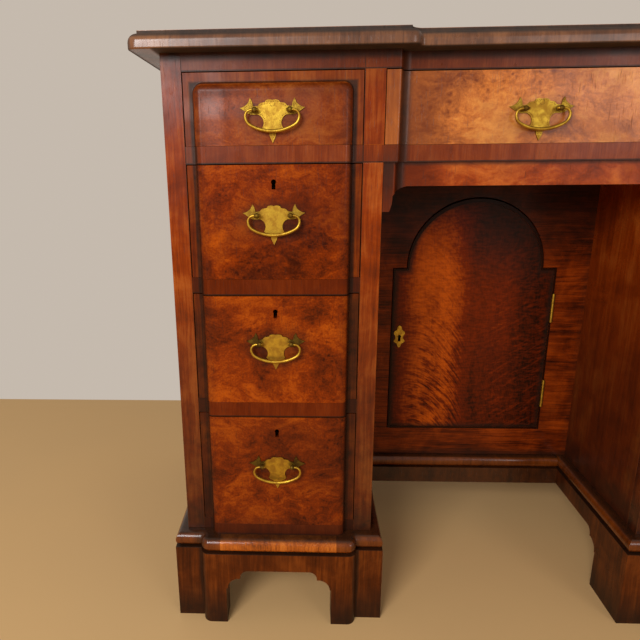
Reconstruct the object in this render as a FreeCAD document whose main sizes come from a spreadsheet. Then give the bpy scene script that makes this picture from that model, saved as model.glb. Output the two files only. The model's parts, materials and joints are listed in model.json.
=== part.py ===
"""Walnut kneehole desk: two blocked pedestals, a recessed cupboard and nine working drawers.

The desk stands on z = 0, centred on x = 0 and on its depth, and its front faces -y.
Lengths are millimetres.
"""
import FreeCAD, Part
import math
import os
import re
from typing import NamedTuple

import Sketcher

LEFT = 1
RIGHT = -1

# Two measures closer than this are the same place.
SAME_PLACE = 1e-4

# Driving dimensions. Heights stack up from the floor, widths out from the middle.
SIZES = {
    # Case
    "pedestal_width": 258,
    "kneehole_width": 364,
    "case_depth": 480,
    "stile_depth": 22,
    "side_board": 18,
    "back_board": 10,
    "bottom_board": 12,
    "soffit_board": 10,
    "rail_height": 20,
    "rail_depth": 60,
    "top_rail_height": 20,
    "bottom_rail_height": 16.5,
    "frieze_opening": 82.5,
    "second_opening": 137,
    "third_opening": 143,
    "fourth_opening": 162,
    # Top board
    "top_thickness": 20.5,
    "top_overhang": 27,
    "end_overhang": 31,
    "back_overhang": 8,
    "top_corner": 13,
    "top_lip": 3.5,
    "top_lip_inset": 10.5,
    "top_edge_round": 9.5,
    "top_arris": 2,
    "top_recess_inset": 20,
    "top_recess_round": 11.5,
    # Blocked and recessed fronts
    "block_flange": 10.5,
    "block_cove": 3,
    "block_rise": 1.5,
    "block_round": 9.5,
    "frieze_block_drop": 12.5,
    "frieze_corner_ease": 1.5,
    "centre_flange": 15,
    "recess_round": 3,
    "recess_cove": 13,
    # Apron over the kneehole
    "apron_height": 28,
    "apron_thickness": 18,
    "apron_setback": 2.5,
    "bracket_strip": 12.5,
    "bracket_foot": 9,
    "bracket_taper": 16,
    "bracket_bend": 40,
    "bracket_rise": 2.5,
    "spandrel_run": 20,
    "spandrel_drop": 11,
    "spandrel_bend": 30,
    # Base moulding and bracket feet
    "plinth_height": 113,
    "plinth_step": 16,
    "plinth_spread": 15,
    "plinth_cove": 1.5,
    "plinth_rise": 0.5,
    "mould_height": 21,
    "torus_step": 15.5,
    "torus_flat": 0.2,
    "rear_rail": 22,
    "arch_web": 27,
    "foot_width": 71.5,
    "arch_low_round": 16,
    "arch_high_round": 11,
    "arch_cusp": 2,
    "side_foot": 62,
    "corner_block": 34,
    "corner_block_lift": 12,
    # Recessed cupboard
    "cupboard_setback": 224,
    "front_board": 18,
    "sill_height": 50,
    "kneehole_step": 13,
    "band_height": 28,
    "band_thickness": 16,
    "shelf_rise": 196,
    "shelf_setback": 22,
    "shelf_board": 12,
    # Door and its brasses
    "door_margin": 52,
    "door_head": 45.5,
    "door_thickness": 18,
    "door_gap": 1.2,
    "door_shoulder": 22,
    "arch_stilt": 3,
    "bead_width": 3,
    "bead_rise": 1.4,
    "hinge_length": 48,
    "hinge_inset": 42,
    "hinge_leaf": 1.2,
    "hinge_leaf_width": 14,
    "knuckle_radius": 2.8,
    "knuckle_relief": 0.4,
    "pin_radius": 1.2,
    "pin_clearance": 0.08,
    "knuckle_gap": 0.3,
    "escutcheon_width": 17,
    "escutcheon_height": 38,
    "escutcheon_inset": 13.5,
    "escutcheon_rise": 167,
    "door_lock_width": 44,
    "door_lock_height": 60,
    "door_lock_edge": 6,
    # Drawers
    "drawer_gap": 1,
    "drawer_lift": 0.3,
    "drawer_headroom": 1.2,
    "drawer_clear": 40,
    "front_thickness": 20,
    "drawer_side": 9,
    "drawer_back": 9,
    "drawer_bottom": 6,
    "bottom_lift": 7,
    "side_drop": 3,
    "back_drop": 8,
    "tail_lap": 6,
    "runner_width": 24,
    "guide_width": 6,
    "guide_height": 15,
    # Pulls and locks
    "plate_width": 74,
    "plate_height": 48,
    "plate_thickness": 1.6,
    "post_spread": 20,
    "post_reach": 8,
    "post_neck": 2.2,
    "post_collar": 3.6,
    "collar_height": 1.2,
    "post_stem": 1.9,
    "stem_clearance": 0.1,
    "nut_width": 8,
    "nut_thickness": 3,
    "bail_wire": 1.7,
    "eye_clearance": 0.1,
    "eye_wall": 1.4,
    "bail_overhang": 1.3,
    "bail_clearance": 0.3,
    "bail_drop": 23,
    "bail_top_corner": 7,
    "frieze_pull_drop": 44,
    "second_pull_drop": 59,
    "third_pull_drop": 61,
    "fourth_pull_drop": 69,
    "key_drop": 20.8,
    "key_radius": 3,
    "key_slot_width": 4.6,
    "key_slot_drop": 8.5,
    "lock_width": 56,
    "lock_height": 40,
    "lock_depth": 9,
    # Length by which a cutting tool runs past what it cuts
    "overrun": 5,
}

# Places worked out from the sizes; "front" is the face of the stiles.
PLACES = {
    "front": "(plinth_step + block_step - case_depth - back_overhang)/2",
    "half_case": "kneehole_width/2 + pedestal_width",
    "half_pedestal": "pedestal_width/2",
    "half_kneehole": "kneehole_width/2",
    "pedestal_centre": "half_kneehole + half_pedestal",
    "stile_width": "side_board + guide_width",
    "half_opening": "half_pedestal - stile_width",
    "half_inside": "half_pedestal - side_board",
    "inner_back": "case_depth - back_board",
    "case_floor": "plinth_height + mould_height",
    "fourth_floor": "case_floor + bottom_rail_height",
    "third_floor": "fourth_floor + fourth_opening + rail_height",
    "second_floor": "third_floor + third_opening + rail_height",
    "frieze_floor": "second_floor + second_opening + rail_height",
    "frieze_ceiling": "frieze_floor + frieze_opening",
    "frieze_underside": "frieze_floor - rail_height",
    "soffit_underside": "frieze_underside - soffit_board",
    "under_top": "frieze_ceiling + top_rail_height",
    "recess": "recess_round + recess_cove",
    "recess_half": "half_kneehole - centre_flange",
    "block_half": "half_opening - block_flange",
    "block_step": "block_cove + block_rise + block_round",
    "frieze_block_corner": "block_round + frieze_corner_ease",
    "apron_back": "recess + apron_thickness",
    "apron_drop": "apron_height + spandrel_drop + bracket_rise + bracket_taper",
    "plinth_round": "block_step - plinth_cove - plinth_rise",
    "torus_round": "min(mould_height/2; plinth_round) - torus_flat",
    "arch_height": "plinth_height - arch_web",
    "arch_half": "half_pedestal + plinth_step - foot_width",
    "door_half": "half_kneehole - door_margin",
    "door_floor": "case_floor + sill_height",
    "door_face": "cupboard_setback",
    "arch_radius": "door_half - door_shoulder",
    "door_height": "soffit_underside - door_head - arch_radius - arch_stilt - door_floor",
    "hinge_x": "door_half + door_gap/2",
    "drawer_length": "inner_back - drawer_clear",
    "tail_length": "front_thickness - tail_lap",
    "post_head": "bail_wire + eye_clearance + eye_wall",
    "bail_tip": "post_spread - post_head - bail_overhang",
    "bail_straight": "post_spread + post_head + bail_clearance",
    "bail_reach": "bail_straight + bail_top_corner",
    "bail_low_corner": "(bail_drop - bail_top_corner - bail_reach*(2 - sqrt(3)))/(sqrt(3) - 1)",
    "bail_sweep": "2*bail_reach - bail_low_corner",
}

# Right half of a bat-wing back plate, from its pendant up to the notch of its crest: shares
# of half its width and of its height, then an arc's radius as a share of its chord, and the turn.
PLATE_SHARES = [
    (0, -0.74),
    (0.092, -0.59),
    (0.105, -0.52),
    (0.26, -0.455, 1.62, RIGHT),
    (0.325, -0.4),
    (0.446, -0.1, 0.605, RIGHT),
    (0.64, -0.1),
    (0.81, -0.04, 1.94, LEFT),
    (1, 0.055),
    (0.73, 0.177, 1.24, RIGHT),
    (0.684, 0.27),
    (0.6, 0.082, 1.51, LEFT),
    (0.446, 0.095),
    (0.351, 0.16, 1.33, LEFT),
    (0.232, 0.172),
    (0.2, 0.215),
    (0, 0.222, 1.3, LEFT),
]

# Right half of the door's escutcheon, from its foot up to its crest, in the same kind of shares.
ESCUTCHEON_SHARES = [
    (0, -0.5),
    (0.3, -0.44, 0.89, LEFT),
    (0.42, -0.34),
    (0.95, -0.25),
    (1, -0.17, 0.62, LEFT),
    (1, 0.1, 0.74, RIGHT),
    (0.9, 0.24, 0.85, LEFT),
    (0.5, 0.3),
    (0.4, 0.42),
    (0, 0.5, 1.08, LEFT),
]

# Half height of a dovetail at its root and at its tip, as shares of the pitch.
TAIL_ROOT_SHARE = 0.27
TAIL_TIP_SHARE = 0.36

SPIN = {
    "x": FreeCAD.Rotation(FreeCAD.Vector(0, 1, 0), 90),
    "y": FreeCAD.Rotation(FreeCAD.Vector(1, 0, 0), -90),
    "z": FreeCAD.Rotation(),
}

doc = FreeCAD.newDocument("KneeholeDesk")
sheet = doc.addObject("Spreadsheet::Sheet", "Sizes")
nodes = []


class Drawer(NamedTuple):
    """One drawer: its place, its opening and what its front carries."""

    name: str
    centre: str
    floor: str
    opening: str
    half: str
    face: str
    thickness: str
    pull: str
    tails: int
    locked: bool


def fill_sheet():
    """Write the driving dimensions into the sheet, one named cell each."""
    for row, (alias, size) in enumerate(SIZES.items(), start=1):
        sheet.set(f"A{row}", str(size))
        sheet.setAlias(f"A{row}", alias)
    doc.recompute()


def formula(text):
    """Return a formula with each size and place spelt out as cells of the sheet."""
    def spell(match):
        word = match.group()
        if word in PLACES:
            return f"({formula(PLACES[word])})"
        return f"Sizes.{word}" if word in SIZES else word
    return re.sub(r"[a-z_]+", spell, text)


def measure(text):
    """Return a formula's value."""
    return float(sheet.evalExpression(formula(text)))


def bind(thing, bindings):
    """Bind properties of an object to formulas."""
    for name, text in bindings.items():
        thing.setExpression(name, formula(text))


def place(thing, x="0", y="0", z="0"):
    """Bind an object's position; y counts back from the face of the stiles."""
    bind(thing, {"Placement.Base.x": x, "Placement.Base.y": f"front + {y}", "Placement.Base.z": z})
    return thing


def node(name, thing):
    """Name an object as one sub-part of the desk."""
    thing.Label = name
    nodes.append(thing)
    return thing


def board(name, x, y, z, length, depth, height):
    """Make a plain board from its left, front, bottom corner."""
    box = doc.addObject("Part::Box", name)
    bind(box, {"Length": length, "Width": depth, "Height": height})
    return place(box, x, y, z)


def rod(name, axis, x, y, z, radius, length):
    """Make a round rod that runs along an axis from a point."""
    cylinder = doc.addObject("Part::Cylinder", name)
    cylinder.Placement.Rotation = SPIN[axis]
    bind(cylinder, {"Radius": radius, "Height": length})
    return place(cylinder, x, y, z)


def group(name, pieces):
    """Hold several separate solids together under one name."""
    compound = doc.addObject("Part::Compound", name)
    compound.Links = pieces
    return compound


def cut(name, base, tools):
    """Cut a piece with others."""
    result = doc.addObject("Part::Cut", name)
    result.Base = base
    result.Tool = tools[0] if len(tools) == 1 else group(f"{name}_tools", tools)
    return result


def fuse(name, pieces):
    """Join pieces into one solid."""
    result = doc.addObject("Part::MultiFuse", name)
    result.Shapes = pieces
    return result


def new_body(name, x="0", y="0", z="0"):
    """Make an empty body at a place."""
    return place(doc.addObject("PartDesign::Body", f"{name}_body"), x, y, z)


def new_sketch(body, plane, lift="0"):
    """Make a sketch on one of a body's own origin planes, or lifted off it."""
    sketch = body.newObject("Sketcher::SketchObject", f"{body.Name}_sketch")
    support = next(item for item in body.Origin.OriginFeatures if item.Role == plane)
    sketch.AttachmentSupport = (support, [""])
    sketch.MapMode = "FlatFace"
    bind(sketch, {"AttachmentOffset.Base.z": lift})
    return sketch


def arc_between(start, end, radius, turn):
    """Return the short arc from one point to another that turns left or right."""
    chord = end - start
    side = FreeCAD.Vector(-chord.y, chord.x, 0).normalize()
    reach = math.sqrt(max(radius**2 - (chord.Length/2)**2, 0))
    centre = (start + end)*0.5 + side*(reach*turn)
    first, last = (start, end) if turn == LEFT else (end, start)
    angles = [math.atan2(spot.y - centre.y, spot.x - centre.x) for spot in (first, last)]
    return Part.ArcOfCircle(Part.Circle(centre, FreeCAD.Vector(0, 0, 1), radius), *angles)


def trace(sketch, points, closed=True):
    """Draw lines and arcs through points, each bound to its formulas.

    A point (x, y) is reached by a line; (x, y, radius, turn) is reached by an arc.
    """
    spots = [FreeCAD.Vector(measure(point[0]), measure(point[1]), 0) for point in points]
    pieces = []
    rules = []
    texts = []
    for index in range(0 if closed else 1, len(points)):
        start, end = spots[index - 1], spots[index]
        if len(points[index]) == 2:
            pieces.append((sketch.addGeometry(Part.LineSegment(start, end)), 1, 2))
            continue
        radius, turn = points[index][2:]
        arc = sketch.addGeometry(arc_between(start, end, measure(radius), turn))
        pieces.append((arc, 1, 2) if turn == LEFT else (arc, 2, 1))
        rules.append(Sketcher.Constraint("Radius", arc, measure(radius)))
        texts.append(radius)
    ends = [(piece[0], piece[2]) for piece in pieces]
    starts = [(piece[0], piece[1]) for piece in pieces]
    if not closed:
        ends.insert(0, starts.pop(0))
    for spot, point, (piece, corner) in zip(spots, points, ends):
        rules.append(Sketcher.Constraint("DistanceX", -1, 1, piece, corner, spot.x))
        rules.append(Sketcher.Constraint("DistanceY", -1, 1, piece, corner, spot.y))
        texts.extend(point[:2])
    followers = starts[1:] + starts[:1] if closed else starts
    for before, after in zip(ends if closed else ends[1:], followers):
        rules.append(Sketcher.Constraint("Coincident", *before, *after))
    indices = sketch.addConstraint(rules)
    for index, text in zip(indices, texts):
        sketch.setExpression(f"Constraints[{index}]", formula(text))


def ring(sketch, x, y, radius):
    """Draw a circle bound to its formulas."""
    centre = FreeCAD.Vector(measure(x), measure(y), 0)
    circle = sketch.addGeometry(Part.Circle(centre, FreeCAD.Vector(0, 0, 1), measure(radius)))
    rules = [
        Sketcher.Constraint("DistanceX", -1, 1, circle, 3, centre.x),
        Sketcher.Constraint("DistanceY", -1, 1, circle, 3, centre.y),
        Sketcher.Constraint("Radius", circle, measure(radius)),
    ]
    for index, text in zip(sketch.addConstraint(rules), (x, y, radius)):
        sketch.setExpression(f"Constraints[{index}]", formula(text))


def pad(body, sketch, length, backward=False):
    """Pad a sketch along its normal, or backward against it."""
    feature = body.newObject("PartDesign::Pad", f"{body.Name}_pad")
    feature.Profile = sketch
    feature.Reversed = backward
    bind(feature, {"Length": length})
    return feature


def pocket(body, sketch, length, backward=False):
    """Pocket a sketch into a body, and make sure that it takes material away."""
    doc.recompute()
    volume = body.Shape.Volume
    feature = body.newObject("PartDesign::Pocket", f"{body.Name}_pocket")
    feature.Profile = sketch
    feature.Reversed = backward
    bind(feature, {"Length": length})
    doc.recompute()
    if body.Shape.Volume >= volume:
        raise RuntimeError(f"the pocket in {body.Name} cuts nothing")
    return feature


def fillet(body, wanted, radius):
    """Round the edges of a body's last feature that a test picks out."""
    doc.recompute()
    base = body.Tip
    names = [f"Edge{index}" for index, edge in enumerate(base.Shape.Edges, start=1) if wanted(edge.BoundBox)]
    feature = body.newObject("PartDesign::Fillet", f"{body.Name}_fillet")
    feature.Base = (base, names)
    bind(feature, {"Radius": radius})
    return feature


def mirror(body, feature):
    """Mirror a feature of a body about its middle plane."""
    mirrored = body.newObject("PartDesign::Mirrored", f"{body.Name}_mirrored")
    mirrored.Originals = [feature]
    plane = next(item for item in body.Origin.OriginFeatures if item.Role == "YZ_Plane")
    mirrored.MirrorPlane = (plane, [""])
    body.Tip = mirrored


def near(first, second):
    """Return whether two measures are the same place."""
    return abs(first - second) < SAME_PLACE


def block_points(centre, half="block_half", stand="0", cove="block_cove", bend="block_round"):
    """Return the plan of a block from left to right: cove, rise, round, face and back again."""
    foot = f"({half})"
    side = f"({half} - {cove})"
    flat = f"({half} - {cove} - {bend})"
    face = f"-({stand} + block_step)"
    rise = f"-({stand} + block_step - {bend})"
    coved = f"-({stand} + {cove})"
    return [
        (f"{centre} - {foot}", f"-({stand})"),
        (f"{centre} - {side}", coved, cove, RIGHT),
        (f"{centre} - {side}", rise),
        (f"{centre} - {flat}", face, bend, LEFT),
        (f"{centre} + {flat}", face),
        (f"{centre} + {side}", rise, bend, LEFT),
        (f"{centre} + {side}", coved),
        (f"{centre} + {foot}", f"-({stand})", cove, RIGHT),
    ]


def recess_points(half="recess_half"):
    """Return the plan of the centre recess from left to right: arris, cove, face and back again."""
    arris = f"({half} - recess_round)"
    face = f"({half} - recess)"
    return [
        (f"-({half})", "0"),
        (f"-{arris}", "recess_round", "recess_round", LEFT),
        (f"-{face}", "recess", "recess_cove", RIGHT),
        (face, "recess"),
        (arris, "recess_round", "recess_cove", RIGHT),
        (half, "0", "recess_round", LEFT),
    ]


def front_plan(half, back, *runs):
    """Return a closed plan with a shaped front edge, from its back left corner."""
    shaped = [point for run in runs for point in run]
    return [(f"-({half})", back), (f"-({half})", "0"), *shaped, (half, "0"), (half, back)]


def prism(name, points, length, x="0", y="0", z="0"):
    """Make a body by padding a plan upwards."""
    body = new_body(name, x, y, z)
    sketch = new_sketch(body, "XY_Plane")
    trace(sketch, points)
    pad(body, sketch, length)
    return body


def top_plan(inset):
    """Return the plan of the top, which follows the recess of the front, drawn in at its front and ends."""
    reach = f"(half_case + end_overhang - {inset})"
    end = "(half_case + end_overhang - top_corner)"
    face = f"-(top_overhang - {inset})"
    turn = f"top_corner - {inset}"
    waist = "recess_half - top_recess_inset"
    side = f"({waist} + {inset})"
    shoulder = f"({waist} + top_recess_round)"
    bend = "-(top_overhang - top_recess_round)"
    nose = f"top_recess_round - {inset}"
    cove = "(recess - top_recess_round)"
    hollow = f"{cove} + {inset}"
    flat = f"({waist} - {cove})"
    inner = f"-(top_overhang - recess - {inset})"
    back = "case_depth + back_overhang"
    return [
        (f"-{reach}", back),
        (f"-{reach}", "-(top_overhang - top_corner)"),
        (f"-{end}", face, turn, LEFT),
        (f"-{shoulder}", face),
        (f"-{side}", bend, nose, LEFT),
        (f"-{flat}", inner, hollow, RIGHT),
        (flat, inner),
        (side, bend, hollow, RIGHT),
        (shoulder, face, nose, LEFT),
        (end, face),
        (reach, "-(top_overhang - top_corner)", turn, LEFT),
        (reach, back),
    ]


def top_board():
    """Make the top: a board with a thumb-moulded edge, and the lip that stands back on it."""
    seat = "top_thickness - top_lip"
    body = prism("top_board", top_plan("0"), seat, z="under_top")
    upper = measure(seat)
    rear = measure("case_depth + back_overhang")
    fillet(body, lambda box: near(box.ZMin, upper) and not near(box.YMin, rear), "top_edge_round")
    fillet(body, lambda box: near(box.ZMax, 0), "top_arris")
    lip = new_sketch(body, "XY_Plane", seat)
    trace(lip, top_plan("top_lip_inset"))
    pad(body, lip, "top_lip")
    node("top_board", body)


def case_sides():
    """Make the four upright boards of the pedestals and the stiles on their front edges."""
    edges = {
        "left_outer": "-half_case",
        "left_inner": "-half_kneehole - side_board",
        "right_inner": "half_kneehole",
        "right_outer": "half_case - side_board",
    }
    sides = {}
    for name, x in edges.items():
        sides[name] = board(f"{name}_board", x, "stile_depth", "case_floor",
                            "side_board", "inner_back - stile_depth", "under_top - case_floor")
        node(f"{name}_side", sides[name])
    outer = []
    inner = []
    for side, x, inside in (
            ("left", "-half_case", "-half_kneehole - stile_width"),
            ("right", "half_case - stile_width", "half_kneehole")):
        outer.append(board(f"{side}_outer_stile", x, "0", "case_floor",
                           "stile_width", "stile_depth", "under_top - case_floor"))
        inner.append(board(f"{side}_inner_stile", inside, "0", "case_floor",
                           "stile_width", "stile_depth", "frieze_underside - case_floor"))
        inner.append(board(f"{side}_frieze_stile", inside, "0", "frieze_floor",
                           "stile_width", "stile_depth", "frieze_opening"))
    node("outer_stiles", group("outer_stile_pair", outer))
    node("inner_stiles", group("inner_stile_set", inner))
    return [sides["left_inner"], sides["right_inner"]]


def rails(inner_sides):
    """Make the rails: two across the whole front, notched round the inner sides, and the dividers."""
    reach = "half_case - stile_width"
    top = prism("top_rail", front_plan(reach, "rail_depth", recess_points()),
                "top_rail_height", z="frieze_ceiling")
    node("top_rail", cut("top_rail_notched", top, inner_sides))
    runs = [block_points("-pedestal_centre"), recess_points(), block_points("pedestal_centre")]
    frieze = prism("frieze_rail", front_plan(reach, "rail_depth", *runs), "rail_height", z="frieze_underside")
    node("frieze_rail", cut("frieze_rail_notched", frieze, inner_sides))
    plan = front_plan("half_opening", "rail_depth", block_points("0"))
    for side, x in (("left", "-pedestal_centre"), ("right", "pedestal_centre")):
        dividers = [
            prism(f"{side}_second_rail", plan, "rail_height", x, z="second_floor - rail_height"),
            prism(f"{side}_third_rail", plan, "rail_height", x, z="third_floor - rail_height"),
            prism(f"{side}_bottom_rail", plan, "bottom_rail_height", x, z="case_floor"),
        ]
        node(f"{side}_drawer_rails", group(f"{side}_dividers", dividers))


def kneehole_apron():
    """Make the apron over the kneehole, a little behind the rail, with a bracket at each end."""
    inner = "(half_kneehole - bracket_strip)"
    body = prism("kneehole_apron",
                 front_plan("half_kneehole", "apron_back - apron_setback", recess_points(inner)),
                 "apron_drop", y="apron_setback", z="frieze_underside - apron_drop")
    sketch = new_sketch(body, "XZ_Plane", "overrun")
    level = "apron_drop - apron_height"
    foot = "(half_kneehole - bracket_foot)"
    flat = f"({inner} - spandrel_run)"
    trace(sketch, [
        (f"-{foot}", "-overrun"),
        (foot, "-overrun"),
        (foot, "0"),
        (inner, "bracket_taper", "bracket_bend", RIGHT),
        (inner, "bracket_taper + bracket_rise"),
        (flat, level, "spandrel_bend", LEFT),
        (f"-{flat}", level),
        (f"-{inner}", "bracket_taper + bracket_rise", "spandrel_bend", LEFT),
        (f"-{inner}", "bracket_taper"),
        (f"-{foot}", "0", "bracket_bend", RIGHT),
    ])
    pocket(body, sketch, "apron_back + 2*overrun")
    node("kneehole_apron", body)


def case_boards():
    """Make the back boards, the floors of the case, the soffit and the shelf."""
    seam = "half_kneehole + side_board/2"
    tall = "under_top - case_floor"
    outer = f"half_case - ({seam})"
    backs = [
        board("left_back", "-half_case", "inner_back", "case_floor", outer, "back_board", tall),
        board("centre_back", f"-({seam})", "inner_back", "case_floor", f"2*({seam})", "back_board", tall),
        board("right_back", seam, "inner_back", "case_floor", outer, "back_board", tall),
    ]
    node("back_boards", group("back_board_set", backs))
    behind = "cupboard_setback + front_board"
    floors = [
        board(f"{side}_floor", f"{x} - half_inside", "stile_depth", "case_floor - bottom_board",
              "2*half_inside", "case_depth - rear_rail - stile_depth", "bottom_board")
        for side, x in (("left", "-pedestal_centre"), ("right", "pedestal_centre"))]
    floors.append(board("cupboard_floor", "-half_kneehole", behind, "door_floor - door_gap - bottom_board",
                        "kneehole_width", f"inner_back - ({behind})", "bottom_board"))
    floors.append(board("kneehole_soffit", "-half_kneehole", "apron_back", "soffit_underside",
                        "kneehole_width", "inner_back - apron_back", "soffit_board"))
    node("case_boards", group("floor_set", floors))
    shelf = board("shelf", "-half_kneehole", f"{behind} + shelf_setback", "door_floor + shelf_rise",
                  "kneehole_width", f"inner_back - ({behind} + shelf_setback)", "shelf_board")
    node("cupboard_shelf", shelf)


def drawer_runners():
    """Make a runner under each side of each drawer, and a guide beside it in the pedestals."""
    deep = "inner_back - rail_depth"
    strips = []
    levels = {"frieze": "rail_height", "second": "rail_height", "third": "rail_height",
              "fourth": "bottom_rail_height"}
    for side, x in (("left", "-pedestal_centre"), ("right", "pedestal_centre")):
        for level, height in levels.items():
            name = f"{side}_{level}"
            floor = f"{level}_floor"
            guide = "stile_width - side_board"
            for hand, runner, strip in (
                    ("left", f"{x} - half_inside", f"{x} - half_inside"),
                    ("right", f"{x} + half_inside - runner_width", f"{x} + half_opening")):
                strips.append(board(f"{name}_{hand}_runner", runner, "rail_depth", f"{floor} - {height}",
                                    "runner_width", deep, height))
                strips.append(board(f"{name}_{hand}_guide", strip, "rail_depth", floor,
                                    guide, deep, "guide_height"))
    for hand, x in (("left", "-half_kneehole"), ("right", "half_kneehole - runner_width")):
        strips.append(board(f"centre_{hand}_runner", x, "rail_depth", "frieze_underside",
                            "runner_width", deep, "rail_height"))
    node("drawer_runners", group("runner_set", strips))


def base_plan(stand):
    """Return the U-shaped plan of a base moulding that stands out from a pedestal."""
    run = block_points("0", "block_half + plinth_spread", stand, "plinth_cove", "plinth_round")
    return [
        (f"-(half_pedestal + {stand})", "case_depth"),
        (f"-(half_pedestal + {stand})", f"-{stand}"),
        *run,
        (f"half_pedestal + {stand}", f"-{stand}"),
        (f"half_pedestal + {stand}", "case_depth"),
        ("half_inside", "case_depth"),
        ("half_inside", "stile_depth"),
        ("-half_inside", "stile_depth"),
        ("-half_inside", "case_depth"),
    ]


def on_outer_edge(box):
    """Return whether an edge of a base moulding runs level round its outside."""
    level = near(box.ZMin, box.ZMax)
    rear_end = near(box.YMin, measure("case_depth"))
    beside = max(abs(box.XMin), abs(box.XMax)) < measure("half_inside") + SAME_PLACE
    behind = box.YMin > measure("stile_depth") - SAME_PLACE
    return level and not rear_end and not (beside and behind)


def base_mouldings():
    """Make the half-round moulding between case and feet, and the band across the kneehole."""
    pieces = []
    for side, x in (("left", "-pedestal_centre"), ("right", "pedestal_centre")):
        bead = prism(f"{side}_torus", base_plan("torus_step"), "mould_height", x, z="plinth_height")
        fillet(bead, on_outer_edge, "torus_round")
        pieces.append(bead)
        pieces.append(board(f"{side}_rear_rail", f"{x} - half_inside", "case_depth - rear_rail",
                            "plinth_height", "2*half_inside", "rear_rail", "mould_height"))
    pieces.append(board("kneehole_band", "-(half_kneehole - plinth_step)", "cupboard_setback - kneehole_step",
                        "plinth_height - band_height", "kneehole_width - 2*plinth_step",
                        "band_thickness", "band_height"))
    lean = "kneehole_step - (plinth_step - torus_step)"
    half = "half_kneehole - torus_step"
    bead = prism("kneehole_torus", [
        (f"-({half})", "front_board"), (f"-({half})", f"-({lean})"),
        (half, f"-({lean})"), (half, "front_board")],
        "mould_height", y="cupboard_setback", z="plinth_height")
    nose = -measure(lean)
    fillet(bead, lambda box: near(box.YMax, nose) and near(box.ZMin, box.ZMax), "torus_round")
    pieces.append(bead)
    node("base_mouldings", group("base_moulding_set", pieces))


def arch_points(half):
    """Return the outline of the gap between two bracket feet, with two scallops at each shoulder."""
    low = "arch_height - arch_high_round - arch_cusp - arch_low_round"
    mid = "arch_height - arch_high_round - arch_cusp"
    inner = f"{half} - arch_cusp"
    cusp = f"{inner} - arch_low_round"
    step = f"{cusp} - arch_cusp"
    crown = f"{step} - arch_high_round"
    return [
        (half, "-overrun"),
        (half, low),
        (inner, low),
        (cusp, mid, "arch_low_round", LEFT),
        (step, mid),
        (step, f"{mid} + arch_cusp"),
        (crown, "arch_height", "arch_high_round", LEFT),
        (f"-({crown})", "arch_height"),
        (f"-({step})", f"{mid} + arch_cusp", "arch_high_round", LEFT),
        (f"-({step})", mid),
        (f"-({cusp})", mid),
        (f"-({inner})", low, "arch_low_round", LEFT),
        (f"-({half})", low),
        (f"-({half})", "-overrun"),
    ]


def bracket_bases():
    """Make the bracket feet of each pedestal: blocked front, shaped sides, back and corner blocks."""
    run = block_points("0", "block_half + plinth_spread", "plinth_step", "plinth_cove", "plinth_round")
    reach = "half_pedestal + plinth_step"
    for side, x in (("left", "-pedestal_centre"), ("right", "pedestal_centre")):
        front = prism(f"{side}_front_bracket", [
            (f"-({reach})", "0"), (f"-({reach})", "-plinth_step"), *run,
            (reach, "-plinth_step"), (reach, "0")], "plinth_height", x)
        gap = new_sketch(front, "XZ_Plane", "-overrun")
        trace(gap, arch_points("arch_half"))
        pocket(front, gap, "plinth_step + block_step + 2*overrun", backward=True)
        pieces = [front]
        for hand, edge in (("left", f"{x} - half_pedestal - plinth_step"), ("right", f"{x} + half_pedestal")):
            pieces.append(side_bracket(f"{side}_{hand}_bracket", edge))
            for end, y in (("front", "0"), ("back", "case_depth - plinth_step - corner_block")):
                corner = f"{x} - half_pedestal" if hand == "left" else f"{x} + half_pedestal - corner_block"
                pieces.append(board(f"{side}_{hand}_{end}_block", corner, y, "corner_block_lift",
                                    "corner_block", "corner_block", "plinth_height - corner_block_lift"))
        back = prism(f"{side}_back_bracket", [
            ("-half_pedestal", "0"), ("half_pedestal", "0"),
            ("half_pedestal", "plinth_step"), ("-half_pedestal", "plinth_step")],
            "plinth_height", x, "case_depth - plinth_step")
        gap = new_sketch(back, "XZ_Plane", "-(plinth_step + overrun)")
        trace(gap, arch_points("arch_half"))
        pocket(back, gap, "plinth_step + 2*overrun", backward=True)
        pieces.append(back)
        node(f"{side}_bracket_base", group(f"{side}_bracket_set", pieces))


def side_bracket(name, x):
    """Make a bracket board along one side of a pedestal, with its gap between the feet."""
    body = new_body(name, x, "case_depth/2")
    outline = new_sketch(body, "YZ_Plane")
    trace(outline, [("-case_depth/2", "0"), ("case_depth/2", "0"),
                    ("case_depth/2", "plinth_height"), ("-case_depth/2", "plinth_height")])
    pad(body, outline, "plinth_step")
    gap = new_sketch(body, "YZ_Plane", "-overrun")
    trace(gap, arch_points("case_depth/2 - side_foot"))
    pocket(body, gap, "plinth_step + 2*overrun", backward=True)
    return body


def door_points(grow):
    """Return the outline of the arched door, grown all round."""
    half = f"door_half + {grow}"
    radius = f"arch_radius + {grow}"
    spring = f"door_height + {grow} + arch_stilt"
    return [
        (f"-({half})", f"-({grow})"),
        (half, f"-({grow})"),
        (half, f"door_height + {grow}"),
        (radius, f"door_height + {grow}"),
        (radius, spring),
        ("0", f"{spring} + {radius}", radius, LEFT),
        (f"-({radius})", spring, radius, LEFT),
        (f"-({radius})", f"door_height + {grow}"),
        (f"-({half})", f"door_height + {grow}"),
    ]


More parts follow.
